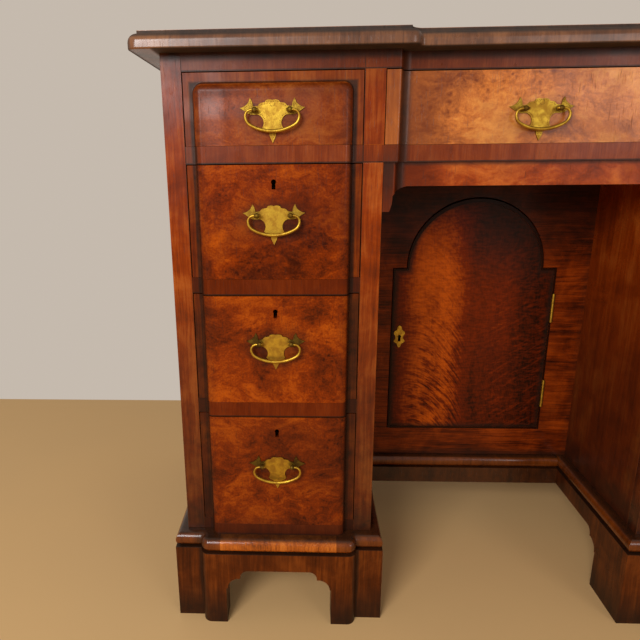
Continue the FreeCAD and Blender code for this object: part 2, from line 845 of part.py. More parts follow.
def cupboard():
    """Make the cupboard's front with its arched opening, the door, the hinges and the door's brasses."""
    surround = new_body("cupboard_front", y="door_face", z="door_floor")
    sketch = new_sketch(surround, "XZ_Plane")
    rise = "soffit_underside - door_floor"
    trace(sketch, [("-half_kneehole", "-sill_height"), ("half_kneehole", "-sill_height"),
                   ("half_kneehole", rise), ("-half_kneehole", rise)])
    trace(sketch, door_points("door_gap"))
    pad(surround, sketch, "front_board", backward=True)

    door = new_body("cupboard_door", y="door_face", z="door_floor")
    sketch = new_sketch(door, "XZ_Plane")
    trace(sketch, door_points("0"))
    pad(door, sketch, "door_thickness", backward=True)
    bead = new_sketch(door, "XZ_Plane")
    trace(bead, door_points("0"))
    trace(bead, door_points("-bead_width"))
    pad(door, bead, "bead_rise")

    jamb_leaves = []
    door_leaves = []
    jamb_tools = []
    door_tools = []
    for level, z in (("lower", "door_floor + hinge_inset"),
                     ("upper", "door_floor + door_height - hinge_inset - hinge_length")):
        jamb_leaf, door_leaf, jamb_mortise, door_mortise = hinge(f"{level}_hinge", z)
        jamb_leaves.append(jamb_leaf)
        door_leaves.append(door_leaf)
        jamb_tools.append(jamb_mortise)
        door_tools.append(door_mortise)
    keyhole = key_cut("door_key", "escutcheon_inset - door_half", "door_face - overrun",
                      "door_floor + escutcheon_rise", "door_thickness + overrun")
    node("cupboard_front", cut("cupboard_front_mortised", surround, jamb_tools))
    node("cupboard_door", cut("cupboard_door_mortised", door, door_tools + [keyhole]))
    node("hinge_jamb_leaves", group("jamb_leaf_pair", jamb_leaves))
    node("hinge_door_leaves", group("door_leaf_pair", door_leaves))
    node("door_brasses", group("door_brass_set", door_brasses(keyhole)))


def hinge(name, z):
    """Make one butt hinge; return its two leaves and the mortises that they lie in."""
    third = "hinge_length/3"
    relief = "knuckle_radius + knuckle_relief"

    def knuckle(part, low, high, radius):
        return rod(f"{name}_{part}", "z", "hinge_x", "door_face", f"{z} + {low}", radius, f"{high} - ({low})")
    jamb_leaf = board(f"{name}_jamb_leaf", "hinge_x + door_gap/2", "door_face", z,
                      "hinge_leaf", "hinge_leaf_width", "hinge_length")
    door_leaf = board(f"{name}_door_leaf", "hinge_x - door_gap/2 - hinge_leaf", "door_face", z,
                      "hinge_leaf", "hinge_leaf_width", "hinge_length")
    bottom = knuckle("bottom_knuckle", "0", third, "knuckle_radius")
    top = knuckle("top_knuckle", f"2*{third}", "hinge_length", "knuckle_radius")
    middle = knuckle("middle_knuckle", f"{third} + knuckle_gap", f"2*{third} - knuckle_gap", "knuckle_radius")
    pin = knuckle("pin", "0", "hinge_length", "pin_radius")
    bore = knuckle("bore", "-overrun", "hinge_length + overrun", "pin_radius + pin_clearance")
    gap = knuckle("middle_gap", third, f"2*{third}", relief)
    low_gap = knuckle("bottom_gap", "-overrun", f"{third} + knuckle_gap", relief)
    high_gap = knuckle("top_gap", f"2*{third} - knuckle_gap", "hinge_length + overrun", relief)
    jamb = cut(f"{name}_jamb", fuse(f"{name}_jamb_joined", [jamb_leaf, bottom, top]), [gap, bore])
    swung = cut(f"{name}_swung", door_leaf, [low_gap, high_gap])
    door = fuse(f"{name}_door", [swung, middle, pin])
    space = knuckle("space", "-knuckle_gap", "hinge_length + knuckle_gap", relief)
    jamb_mortise = group(f"{name}_jamb_mortise", [jamb_leaf, space])
    door_mortise = group(f"{name}_door_mortise", [door_leaf, space])
    return jamb, door, jamb_mortise, door_mortise


def half_outline(shares, half, height):
    """Return the points of half an outline from shares of its sizes and of its arcs' chords."""
    points = []
    for index, (across, up, *bend) in enumerate(shares):
        point = (f"{half}*{across}", f"{height}*({up})")
        if bend:
            radius_share, turn = bend
            start_across, start_up = shares[index - 1][:2]
            run = f"{half}*({across} - {start_across})"
            rise = f"{height}*({up} - ({start_up}))"
            point += (f"{radius_share}*sqrt(({run})^2 + ({rise})^2)", turn)
        points.append(point)
    return points


def plate(name, shares, half, height, thickness, x, y, z):
    """Make a flat plate whose outline mirrors about its upright middle line."""
    body = new_body(name, x, y, z)
    sketch = new_sketch(body, "XZ_Plane")
    trace(sketch, half_outline(shares, half, height))
    mirror(body, pad(body, sketch, thickness))
    return body


def key_cut(name, x, y, z, depth):
    """Make the tool that cuts a keyhole: a round eye over a slot."""
    eye = rod(f"{name}_eye", "y", x, y, z, "key_radius", depth)
    slot = board(f"{name}_slot", f"{x} - key_slot_width/2", y, f"{z} - key_slot_drop",
                 "key_slot_width", depth, "key_slot_drop")
    return fuse(f"{name}_tool", [eye, slot])


def door_brasses(keyhole):
    """Make the door's escutcheon and the lock case behind it."""
    x = "escutcheon_inset - door_half"
    z = "door_floor + escutcheon_rise"
    blank = plate("escutcheon", ESCUTCHEON_SHARES, "escutcheon_width/2", "escutcheon_height",
                  "plate_thickness", x, "door_face", z)
    lock = board("door_lock", f"{x} - door_lock_edge", "door_face + door_thickness",
                 f"{z} - door_lock_height/2", "door_lock_width", "lock_depth", "door_lock_height")
    return [cut("escutcheon_pierced", blank, [keyhole]), lock]


def drawer_list():
    """Return the nine drawers."""
    rows = {"frieze": 2, "second": 3, "third": 3, "fourth": 3}
    drawers = [
        Drawer(f"{side}_{row}_drawer", centre, f"{row}_floor", f"{row}_opening", "half_opening",
               "-block_step", "front_thickness", f"{row}_pull_drop", tails, row != "frieze")
        for side, centre in (("left", "-pedestal_centre"), ("right", "pedestal_centre"))
        for row, tails in rows.items()]
    drawers.append(Drawer("centre_drawer", "0", "frieze_floor", "frieze_opening", "half_kneehole",
                          "recess", "recess + front_thickness", "frieze_pull_drop", rows["frieze"], False))
    return drawers


def front_blank(drawer, half, height, floor):
    """Make a drawer front before it is cut for its sides, pull and lock."""
    name = f"{drawer.name}_blank"
    if drawer.name == "centre_drawer":
        plan = front_plan(half, drawer.thickness, recess_points())
        return prism(name, plan, height, drawer.centre, z=floor)
    if drawer.locked:
        plan = front_plan(half, drawer.thickness, block_points("0"))
        return prism(name, plan, height, drawer.centre, z=floor)
    body = prism(name, front_plan(half, drawer.thickness), height, drawer.centre, z=floor)
    side = "block_half - block_cove"
    crown = f"{height} - frieze_block_drop"
    sketch = new_sketch(body, "XZ_Plane")
    trace(sketch, [
        (f"-({side})", "0"),
        (side, "0"),
        (side, f"{crown} - frieze_block_corner"),
        (f"{side} - frieze_block_corner", crown, "frieze_block_corner", LEFT),
        (f"-({side} - frieze_block_corner)", crown),
        (f"-({side})", f"{crown} - frieze_block_corner", "frieze_block_corner", LEFT),
    ])
    pad(body, sketch, "block_step")
    face = -measure("block_step")
    edge = measure(side) + SAME_PLACE

    def on_block_face(box):
        return near(box.YMax, face) and not near(box.ZMax, 0)

    def on_block_foot(box):
        flat = near(box.YMin, 0) and near(box.YMax, 0)
        return flat and not near(box.ZMax, 0) and max(-box.XMin, box.XMax) < edge
    fillet(body, on_block_face, "block_round")
    fillet(body, on_block_foot, "block_cove")
    return body


def drawer_side(name, x, height, floor, drawer):
    """Make a drawer side, with the tails of its dovetails at the front end."""
    body = new_body(name, x, z=floor)
    sketch = new_sketch(body, "YZ_Plane")
    shoulder = f"({drawer.thickness})"
    tip = f"({drawer.thickness} - tail_length)"
    pitch = f"({height})/{drawer.tails}"
    points = [("drawer_length", "0"), ("drawer_length", height), (shoulder, height)]
    for index in reversed(range(drawer.tails)):
        middle = f"{pitch}*{index + 0.5}"
        root = f"{pitch}*{TAIL_ROOT_SHARE}"
        flare = f"{pitch}*{TAIL_TIP_SHARE}"
        points += [(shoulder, f"{middle} + {root}"), (tip, f"{middle} + {flare}"),
                   (tip, f"{middle} - {flare}"), (shoulder, f"{middle} - {root}")]
    points.append((shoulder, "0"))
    trace(sketch, points)
    pad(body, sketch, "drawer_side")
    return body


def post(name, x, y, z, stem):
    """Make one turned post of a pull, with the eye that the bail hangs in."""
    body = new_body(name, x, y, z)
    sketch = new_sketch(body, "XY_Plane")
    seat = "-(plate_thickness + collar_height)"
    trace(sketch, [
        ("0", "-(post_reach + post_head)"),
        ("post_head", "-post_reach", "post_head", LEFT),
        ("post_neck", "sqrt(post_head*post_head - post_neck*post_neck) - post_reach", "post_head", LEFT),
        ("post_neck", seat),
        ("post_collar", seat),
        ("post_collar", "-plate_thickness"),
        ("post_stem", "-plate_thickness"),
        ("post_stem", stem),
        ("0", stem),
    ])
    turned = body.newObject("PartDesign::Revolution", f"{name}_turned")
    turned.Profile = sketch
    turned.ReferenceAxis = (sketch, ["V_Axis"])
    turned.Angle = 360
    reach = "post_head + overrun"
    eye = rod(f"{name}_eye", "x", f"{x} - ({reach})", f"{y} - post_reach", z,
              "bail_wire + eye_clearance", f"2*({reach})")
    return cut(f"{name}_pierced", body, [eye])


def bail(name, x, y, z):
    """Make the swinging bail of a pull as one bent wire."""
    body = new_body(name, x, f"{y} - post_reach", z)
    path = new_sketch(body, "XZ_Plane")
    low_x = "bail_reach - bail_low_corner/2"
    low_z = "-(bail_top_corner + bail_low_corner*sqrt(3)/2)"
    trace(path, [
        ("-bail_tip", "0"),
        ("-bail_straight", "0"),
        ("-bail_reach", "-bail_top_corner", "bail_top_corner", LEFT),
        (f"-({low_x})", low_z, "bail_low_corner", LEFT),
        ("0", "-bail_drop", "bail_sweep", LEFT),
        (low_x, low_z, "bail_sweep", LEFT),
        ("bail_reach", "-bail_top_corner", "bail_low_corner", LEFT),
        ("bail_straight", "0", "bail_top_corner", LEFT),
        ("bail_tip", "0"),
    ], closed=False)
    section = new_sketch(body, "YZ_Plane", "-bail_tip")
    ring(section, "0", "0", "bail_wire")
    wire = body.newObject("PartDesign::AdditivePipe", f"{name}_wire")
    wire.Profile = section
    wire.Spine = path
    node(name, body)


def pull(drawer, z):
    """Make a drawer's pull: plate, posts and nuts as brasses, and return them with their holes."""
    pieces = []
    holes = []
    face = drawer.face
    through = f"{drawer.thickness} - ({face})"
    name = drawer.name
    blank = plate(f"{name}_plate", PLATE_SHARES, "plate_width/2", "plate_height", "plate_thickness",
                  drawer.centre, face, z)
    for hand, x in (("left", f"{drawer.centre} - post_spread"), ("right", f"{drawer.centre} + post_spread")):
        hole = rod(f"{name}_{hand}_hole", "y", x, f"{face} - overrun", z, "post_stem + stem_clearance",
                   f"{through} + nut_thickness + 2*overrun")
        holes.append(hole)
        pieces.append(post(f"{name}_{hand}_post", x, face, z, f"{through} + nut_thickness"))
        nut = board(f"{name}_{hand}_nut_blank", f"{x} - nut_width/2", drawer.thickness, f"{z} - nut_width/2",
                    "nut_width", "nut_thickness", "nut_width")
        pieces.append(cut(f"{name}_{hand}_nut", nut, [hole]))
    pieces.append(cut(f"{name}_plate_drilled", blank, holes))
    return pieces, holes


def make_drawer(drawer):
    """Make one drawer: dovetailed front and box, brasses and bail."""
    name = drawer.name
    half = f"{drawer.half} - drawer_gap"
    floor = f"{drawer.floor} + drawer_lift"
    height = f"{drawer.opening} - drawer_lift - drawer_headroom"
    side_height = f"{height} - side_drop"
    blank = front_blank(drawer, half, height, floor)
    edges = {"left": f"{drawer.centre} - ({half})", "right": f"{drawer.centre} + {half} - drawer_side"}
    sides = [drawer_side(f"{name}_{hand}_side", x, side_height, floor, drawer) for hand, x in edges.items()]
    inside = f"{drawer.centre} - ({half} - drawer_side)"
    across = f"2*({half} - drawer_side)"
    bottom = board(f"{name}_bottom", inside, drawer.thickness, f"{floor} + bottom_lift", across,
                   f"drawer_length - ({drawer.thickness})", "drawer_bottom")
    back_floor = "bottom_lift + drawer_bottom"
    back = board(f"{name}_back", inside, "drawer_length - drawer_back", f"{floor} + {back_floor}", across,
                 "drawer_back", f"{side_height} - ({back_floor}) - back_drop")
    z = f"{drawer.floor} + {drawer.opening} - {drawer.pull}"
    brasses, tools = pull(drawer, z)
    tools = sides + tools
    if drawer.locked:
        key_z = f"{drawer.floor} + {drawer.opening} - key_drop"
        tools.append(key_cut(f"{name}_key", drawer.centre, f"{drawer.face} - overrun", key_z,
                             f"{drawer.thickness} - ({drawer.face}) + overrun"))
        brasses.append(board(f"{name}_lock", f"{drawer.centre} - lock_width/2", drawer.thickness,
                             f"{floor} + {height} - lock_height", "lock_width", "lock_depth", "lock_height"))
    node(f"{name}_front", cut(f"{name}_front_cut", blank, tools))
    node(f"{name}_box", group(f"{name}_box_set", sides + [back, bottom]))
    node(f"{name}_brasses", group(f"{name}_brass_set", brasses))
    bail(f"{name}_bail", drawer.centre, drawer.face, z)


def export():
    """Check every object and write each sub-part to its own file."""
    doc.recompute()
    failed = [item.Name for item in doc.Objects if "Invalid" in item.State or "Error" in item.State]
    failed += [item.Label for item in nodes if item.Shape.isNull() or not item.Shape.isValid()]
    if failed:
        raise RuntimeError(f"these objects failed: {failed}")
    os.makedirs("parts", exist_ok=True)
    for item in nodes:
        item.Shape.exportStep(f"parts/{item.Label}.step")


def main():
    """Build the desk and write its sub-parts."""
    fill_sheet()
    top_board()
    inner_sides = case_sides()
    rails(inner_sides)
    kneehole_apron()
    case_boards()
    drawer_runners()
    base_mouldings()
    bracket_bases()
    cupboard()
    for drawer in drawer_list():
        make_drawer(drawer)
    export()


main()
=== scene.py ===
"""Looks of a walnut kneehole desk: veneers, softened woodwork, cast brasses, light and camera.

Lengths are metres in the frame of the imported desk: x along its front, y to its back, z up.
"""
import json
import logging
import math
from collections import defaultdict
from dataclasses import dataclass, field
from enum import Enum
from functools import partial, reduce

import bmesh
import bpy
from mathutils import Matrix, Vector


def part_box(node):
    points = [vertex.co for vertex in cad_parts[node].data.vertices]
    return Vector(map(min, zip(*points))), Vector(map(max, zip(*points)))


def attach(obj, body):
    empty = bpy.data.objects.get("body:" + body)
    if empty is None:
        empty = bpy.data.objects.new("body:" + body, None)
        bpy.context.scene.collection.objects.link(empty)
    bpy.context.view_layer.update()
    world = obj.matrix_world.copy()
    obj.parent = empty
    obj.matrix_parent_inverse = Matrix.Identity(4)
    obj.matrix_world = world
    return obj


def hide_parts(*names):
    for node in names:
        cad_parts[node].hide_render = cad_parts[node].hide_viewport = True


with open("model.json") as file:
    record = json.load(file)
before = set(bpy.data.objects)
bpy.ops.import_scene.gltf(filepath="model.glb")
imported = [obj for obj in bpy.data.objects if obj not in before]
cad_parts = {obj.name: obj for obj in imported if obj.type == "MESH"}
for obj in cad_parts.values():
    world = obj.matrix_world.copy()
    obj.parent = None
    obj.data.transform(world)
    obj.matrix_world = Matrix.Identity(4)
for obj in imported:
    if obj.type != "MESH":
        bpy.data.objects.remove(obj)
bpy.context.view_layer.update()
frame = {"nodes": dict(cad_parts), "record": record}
LOG = logging.getLogger("kneehole_desk")

Colour = tuple[float, float, float]
Triple = tuple[float, float, float]
Band = tuple[float, ...]
Socket = bpy.types.NodeSocket
Value = Socket | float

# Corners nearer than WELD are one. Triangles at an angle under OVERLAID lie on each other.
WELD = 2e-6
OVERLAID = 1e-4
# Angles up to which faces are one flat stretch, past which edges are rounded and past which they look sharp.
FLAT_ANGLE = math.radians(0.4)
SHARP_ANGLE = math.radians(32)
SMOOTH_ANGLE = math.radians(50)
# A face whose normal has a smaller y than this faces the front.
FRONTAL = -0.99
# Seed of a noise that is alike on all solids, and steps of the seed between nodes and between solids.
ALIKE = 0.0
NODE_SEED = 3.1
SOLID_SEED = 1.7
ROWS = ("frieze", "second", "third", "fourth")


class Grain(Enum):
    """Axis along which the fibres of a board run."""

    LONG = 0
    DEEP = 1
    TALL = 2


@dataclass(frozen=True)
class FrontPlan:
    """Places on the front that the veneers follow.

    Attributes:
        face: Plane of the stiles.
        pedestal: Distance of a pedestal's middle from the desk's middle.
        opening: Half width of a pedestal drawer's opening.
        block: Half width of a block at its foot.
        crown: Height at which the frieze blocks close.
        recess: Half width of the middle recess at its arris.
        cove: Run of the recess's arris and cove.
        door_face: Plane of the cupboard door.
        tops: Upper edges of the drawers, row by row.
    """

    face: float
    pedestal: float
    opening: float
    block: float
    crown: float
    recess: float
    cove: float
    door_face: float
    tops: tuple[float, ...]

    @classmethod
    def read(cls) -> "FrontPlan":
        """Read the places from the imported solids.

        Returns:
            The plan of the front.
        """
        flange, crown_drop, recess_flange = 0.0095, 0.0128, 0.014
        low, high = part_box("left_second_drawer_front")
        frieze_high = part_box("left_frieze_drawer_front")[1]
        return cls(
            face=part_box("outer_stiles")[0].y,
            pedestal=-(low.x + high.x)/2,
            opening=0.105,
            block=(high.x - low.x)/2 - flange,
            crown=frieze_high.z - crown_drop,
            recess=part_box("centre_drawer_front")[1].x - recess_flange,
            cove=0.016,
            door_face=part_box("cupboard_front")[0].y,
            tops=tuple(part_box(f"left_{row}_drawer_front")[1].z for row in ROWS),
        )


PLAN = FrontPlan.read()


class FinishNodes:
    """Short calls that build the nodes of one material.

    Attributes:
        material: The material.
        tree: Its node tree.
        where: Place on the piece, in the desk's frame.
        x: The place's x.
        y: Its y.
        z: Its z.
        seed: Number that picks the figure of a solid.
        edge: 1 on a rounded edge, elsewhere 0.
    """

    def __init__(self) -> None:
        """Start a material with the nodes that read a place."""
        self.material = bpy.data.materials.new("finish")
        self.material.use_nodes = True
        self.tree = self.material.node_tree
        self.tree.nodes.clear()
        self.where = self.add("ShaderNodeTexCoord", {}).outputs["Object"]
        self.x, self.y, self.z = self.split(self.where)
        self.seed, self.edge = self.attribute("seed"), self.attribute("edge")

    def add(self, kind: str, inputs: dict[str | int, object], **settings: object) -> bpy.types.Node:
        """Add one node.

        Args:
            kind: Type of the node.
            inputs: A value or a socket for each input, by name or number.
            **settings: Properties of the node.

        Returns:
            The node.
        """
        node = self.tree.nodes.new(kind)
        for key, value in settings.items():
            setattr(node, key, value)
        for key, value in inputs.items():
            if isinstance(value, Socket):
                self.tree.links.new(value, node.inputs[key])
            else:
                node.inputs[key].default_value = value
        return node

    def attribute(self, name: str) -> Socket:
        """Return a number kept on the mesh, by its name."""
        return self.add("ShaderNodeAttribute", {}, attribute_name=name).outputs["Fac"]

    def split(self, where: Socket) -> tuple[Socket, Socket, Socket]:
        """Return the x, y and z of a place."""
        return tuple(self.add("ShaderNodeSeparateXYZ", {0: where}).outputs)

    def join(self, x: Value, y: Value, z: Value) -> Socket:
        """Return a place from its x, y and z."""
        return self.add("ShaderNodeCombineXYZ", {0: x, 1: y, 2: z}).outputs[0]

    def stretch(self, where: Socket, scale: Triple) -> Socket:
        """Return a place scaled along each axis."""
        return self.add("ShaderNodeMapping", {"Vector": where, "Scale": scale}).outputs[0]

    def calc(self, operation: str, first: Value, second: Value = 0.0) -> Socket:
        """Return the result of a sum or other operation on two numbers."""
        return self.add("ShaderNodeMath", {0: first, 1: second}, operation=operation).outputs[0]

    def minus(self, first: Value, second: Value) -> Socket:
        """Return one number less another."""
        return self.calc("SUBTRACT", first, second)

    def size(self, value: Value) -> Socket:
        """Return a number without its sign."""
        return self.calc("ABSOLUTE", value)

    def off(self, first: Value, second: Value) -> Socket:
        """Return how far two numbers lie apart."""
        return self.size(self.minus(first, second))

    def product(self, *values: Value) -> Value:
        """Return the product of numbers."""
        return reduce(partial(self.calc, "MULTIPLY"), values)

    def most(self, *values: Value) -> Value:
        """Return the greatest of some numbers."""
        return reduce(partial(self.calc, "MAXIMUM"), values)

    def least(self, *values: Value) -> Value:
        """Return the least of some numbers."""
        return reduce(partial(self.calc, "MINIMUM"), values)

    def total(self, *parts: tuple[Value, float]) -> Socket:
        """Return the sum of numbers, each times its weight.

        Args:
            *parts: The numbers with their weights.

        Returns:
            The sum.
        """
        result = self.calc("MULTIPLY", *parts[0])
        for value, weight in parts[1:]:
            node = self.add("ShaderNodeMath", {0: value, 1: weight, 2: result}, operation="MULTIPLY_ADD")
            result = node.outputs[0]
        return result

    def span(self, first: Value, second: Value) -> Socket:
        """Return the straight distance that two square steps make."""
        squares = self.total((self.product(first, first), 1.0), (self.product(second, second), 1.0))
        return self.calc("POWER", squares, 0.5)

    def levels(self, value: Value, low: float, high: float, start: float = 0.0, end: float = 1.0) -> Socket:
        """Return a number carried smoothly from one range to another.

        Args:
            value: The number.
            low: Value at which the change starts.
            high: Value at which it ends.
            start: Result up to low.
            end: Result from high on.

        Returns:
            The result.
        """
        node = self.add("ShaderNodeMapRange", {0: value, 1: low, 2: high, 3: start, 4: end},
                        interpolation_type="SMOOTHSTEP")
        return node.outputs[0]

    def window(self, *sides: tuple[Value, Band]) -> Value:
        """Return the product of numbers, each carried through its band."""
        return self.product(*(self.levels(value, *band) for value, band in sides))

    def noise(self, where: Socket, scale: float, detail: float = 4.0, rough: float = 0.55,
              warp: float = 0.0, seed: Value | None = None) -> bpy.types.Node:
        """Return a cloudy noise node, whose outputs are a number and a colour.

        Args:
            where: The place.
            scale: Noise cells a metre.
            detail: Number of finer layers.
            rough: Share of each finer layer.
            warp: How far the noise folds into itself.
            seed: Number that picks the noise, if it isn't the solid's own.

        Returns:
            The node.
        """
        inputs = {"Vector": where, "W": self.seed if seed is None else seed, "Scale": scale, "Detail": detail,
                  "Roughness": rough, "Distortion": warp}
        return self.add("ShaderNodeTexNoise", inputs, noise_dimensions="4D")

    def cloud(self, *args: object, **settings: object) -> Socket:
        """Return a cloudy noise as a number, from what the noise node takes."""
        return self.noise(*args, **settings).outputs[0]

    def bend(self, where: Socket, scale: float, reach: float) -> Socket:
        """Return a place pushed about by a broad noise.

        Args:
            where: The place.
            scale: Noise cells a metre.
            reach: How far a place may move.

        Returns:
            The moved place.
        """
        push = self.noise(where, scale, 2.0, 0.5).outputs[1]
        centred = self.add("ShaderNodeVectorMath", {0: push, 1: (0.5, 0.5, 0.5)}, operation="SUBTRACT")
        scaled = self.add("ShaderNodeVectorMath", {0: centred.outputs[0], 1: (reach, reach, reach), 2: where},
                          operation="MULTIPLY_ADD")
        return scaled.outputs[0]

    def ramp(self, factor: Socket, stops: list[tuple[float, Colour]]) -> Socket:
        """Return the colour at a place of a colour ramp.

        Args:
            factor: Place on the ramp, from 0 to 1.
            stops: Places and colours of its stops.

        Returns:
            The colour.
        """
        node = self.add("ShaderNodeValToRGB", {0: factor})
        bands = node.color_ramp.elements
        while len(bands) < len(stops):
            bands.new(1.0)
        for band, (position, colour) in zip(bands, stops):
            band.position = position
            band.color = (*colour, 1.0)
        return node.outputs[0]

    def blend(self, factor: Value, first: Socket | Colour, second: Socket | Colour) -> Socket:
        """Return a colour mixed from two."""
        pair = [item if isinstance(item, Socket) else (*item, 1.0) for item in (first, second)]
        return self.add("ShaderNodeMix", {0: factor, 6: pair[0], 7: pair[1]}, data_type="RGBA").outputs[2]

    def choose(self, factor: Value, first: Value, second: Value) -> Socket:
        """Return a number mixed from two."""
        return self.add("ShaderNodeMix", {0: factor, 2: first, 3: second}).outputs[0]

    def bump(self, height: Socket, depth: float) -> Socket:
        """Return a normal roughened by a height."""
        return self.add("ShaderNodeBump", {"Height": height, "Distance": depth, "Strength": 1.0}).outputs[0]

    def surface(self, name: str, inputs: dict[str, object]) -> bpy.types.Material:
        """End the material in its shader.

        Args:
            name: Name of the material.
            inputs: Values or sockets of the shader, by name.

        Returns:
            The material.
        """
        shader = self.add("ShaderNodeBsdfPrincipled", inputs)
        self.add("ShaderNodeOutputMaterial", {"Surface": shader.outputs[0]})
        self.material.name = name
        return self.material


@dataclass(frozen=True)
class Tone:
    """Three colours of one wood, from its dark figure to its light."""

    dark: Colour
    body: Colour
    light: Colour


STILE_TONE = Tone((0.075, 0.009, 0.001), (0.255, 0.034, 0.001), (0.46, 0.11, 0.014))
FRIEZE_TONE = Tone((0.085, 0.011, 0.001), (0.25, 0.042, 0.003), (0.42, 0.11, 0.014))
BURR_TONE = Tone((0.04, 0.005, 0.001), (0.215, 0.027, 0.001), (0.46, 0.085, 0.003))
# Paler burr of the centre drawer, raised further so that it paints the sheen of the recess facing the light.
CENTRE_TONE_WITH_SHEEN = Tone((0.18, 0.039, 0.009), (0.54, 0.16, 0.029), (0.79, 0.33, 0.068))
RAIL_TONE = Tone((0.045, 0.006, 0.001), (0.115, 0.014, 0.001), (0.21, 0.034, 0.004))
FRIEZE_RAIL_TONE = Tone((0.08, 0.011, 0.002), (0.185, 0.03, 0.005), (0.32, 0.075, 0.015))
APRON_TONE = Tone((0.1, 0.012, 0.001), (0.31, 0.046, 0.004), (0.54, 0.13, 0.018))
CUPBOARD_TONE = Tone((0.018, 0.003, 0.001), (0.155, 0.019, 0.001), (0.34, 0.05, 0.003))
DOOR_TONE = Tone((0.014, 0.003, 0.001), (0.16, 0.016, 0.001), (0.5, 0.08, 0.003))
PLINTH_TONE = Tone((0.024, 0.005, 0.001), (0.1, 0.019, 0.002), (0.23, 0.052, 0.006))
TORUS_TONE = Tone((0.06, 0.01, 0.001), (0.39, 0.085, 0.006), (0.66, 0.19, 0.02))
TOP_TONE = Tone((0.055, 0.02, 0.009), (0.14, 0.052, 0.021), (0.26, 0.105, 0.04))
FIELD_TONE = Tone((0.09, 0.02, 0.005), (0.29, 0.085, 0.022), (0.48, 0.18, 0.05))
OAK_TONE = Tone((0.13, 0.07, 0.03), (0.29, 0.175, 0.08), (0.42, 0.275, 0.14))
# Near-black of painted shade and of dirt, which each finish mixes in by its share of both.
SHADE_AND_DIRT = (0.012, 0.0072, 0.0045)
PORE = (0.03, 0.009, 0.003)


@dataclass(frozen=True)
class Wood:
    """A waxed board of straight grain.

    A band in this finish and in those below is where a change starts, where it ends and, unless it runs from
    0 to 1, the shares that it runs from and to.

    Attributes:
        name: Name of the finish.
        tone: Its colours.
        grain: Way of its fibres.
        streaks: Streaks a metre across the grain.
        gloss: Mean roughness of its polish.
        glint: Strength of its reflections.
        mottle: How dark its broad patches are.
        wear: How pale its rubbed edges are.
        matt: How much rougher its dirt and painted shade are.
        spread: Range of the straight figure; a wide range is a quiet figure.
        relief: Depth of its fine relief.
        floor_darkening: Band of heights over which the darkening towards the floor fades.
        n: Nodes of the material.
    """

    name: str
    tone: Tone
    grain: Grain = Grain.TALL
    streaks: float = 48.0
    gloss: float = 0.27
    glint: float = 0.12
    mottle: float = 0.45
    wear: float = 0.75
    matt: float = 0.1
    spread: float = 0.18
    relief: float = 0.00022
    floor_darkening: Band = (0.0, 0.13, 0.45, 0.0)
    n: FinishNodes = field(default_factory=FinishNodes)

    def along(self, run: float) -> Triple:
        """Return a scale that draws a pattern out along the grain."""
        return tuple(run if axis == self.grain.value else 1.0 for axis in range(3))

    def straight(self) -> Socket:
        """Return the figure of straight grain.

        Returns:
            The figure, from 0, dark, to 1, light.
        """
        n = self.n
        fibres = n.stretch(n.bend(n.where, 5.0, 0.012), self.along(0.05))
        streak = n.cloud(fibres, self.streaks, 5.0, 0.68, 0.5)
        fine = n.cloud(fibres, self.streaks*7, 4.0, 0.65)
        patch = n.cloud(n.where, 17.0, 5.0, 0.6, 1.0)
        mixed = n.total((streak, 0.34), (fine, 0.3), (patch, 0.36))
        return n.levels(mixed, 0.5 - self.spread, 0.5 + self.spread)

    def figure(self) -> Socket:
        """Return the figure of the wood, from 0, dark, to 1, light."""
        return self.straight()

    def tint(self, figure: Socket) -> Socket:
        """Return the colour of the figure."""
        return self.coloured(figure, self.tone)

    def coloured(self, figure: Socket, tone: Tone) -> Socket:
        """Return the colour of a figure in one of the woods."""
        return self.n.ramp(figure, [(0.0, tone.dark), (0.48, tone.body), (1.0, tone.light)])

    def pores(self) -> Socket:
        """Return the short open pores of the wood, 1 in a pore."""
        fleck = self.n.cloud(self.n.stretch(self.n.where, self.along(0.06)), 900.0, 2.0, 0.5)
        return self.n.levels(fleck, 0.6, 0.72)

    def shade_and_dirt(self) -> Value:
        """Return the share of painted shade and dirt on a place, 0 to 1: here only darker towards the floor."""
        return self.n.levels(self.n.z, *self.floor_darkening)

    def swelling(self) -> Value:
        """Return how far the surface swells, in steps of the fine relief."""
        return 0.0

    def make(self) -> bpy.types.Material:
        """Build the material.

        Returns:
            The material.
        """
        n = self.n
        figure, pores, shade_and_dirt = self.figure(), self.pores(), self.shade_and_dirt()
        age = n.cloud(n.where, 8.0, 4.0, 0.6, 0.8)
        blotch = n.cloud(n.where, 70.0, 4.0, 0.6, 0.5)
        waves = n.cloud(n.where, 22.0, 2.0, seed=ALIKE)
        colour = n.blend(n.product(pores, 0.45), self.tint(figure), PORE)
        colour = n.blend(n.levels(age, 0.46, 0.72, 0.0, self.mottle), colour, self.tone.dark)
        worn = n.product(n.edge, n.levels(blotch, 0.34, 0.56), self.wear)
        colour = n.blend(worn, colour, self.tone.light)
        # Painted shade and dirt: the colour goes towards near-black by the finish's share of both.
        colour = n.blend(n.product(shade_and_dirt, n.levels(blotch, 0.2, 0.6, 1.0, 0.82)), colour, SHADE_AND_DIRT)
        rough = n.total((n.levels(age, 0.3, 0.7, -0.06, 0.06), 1.0), (blotch, 0.12), (pores, 0.15),
                        (shade_and_dirt, self.matt), (self.gloss - 0.06, 1.0))
        height = n.total((figure, 0.2), (pores, -0.2), (waves, 2.4), (self.swelling(), 1.0))
        return n.surface(self.name, {"Base Color": colour, "Roughness": rough, "Specular IOR Level": self.glint,
                                     "Normal": n.bump(height, self.relief)})


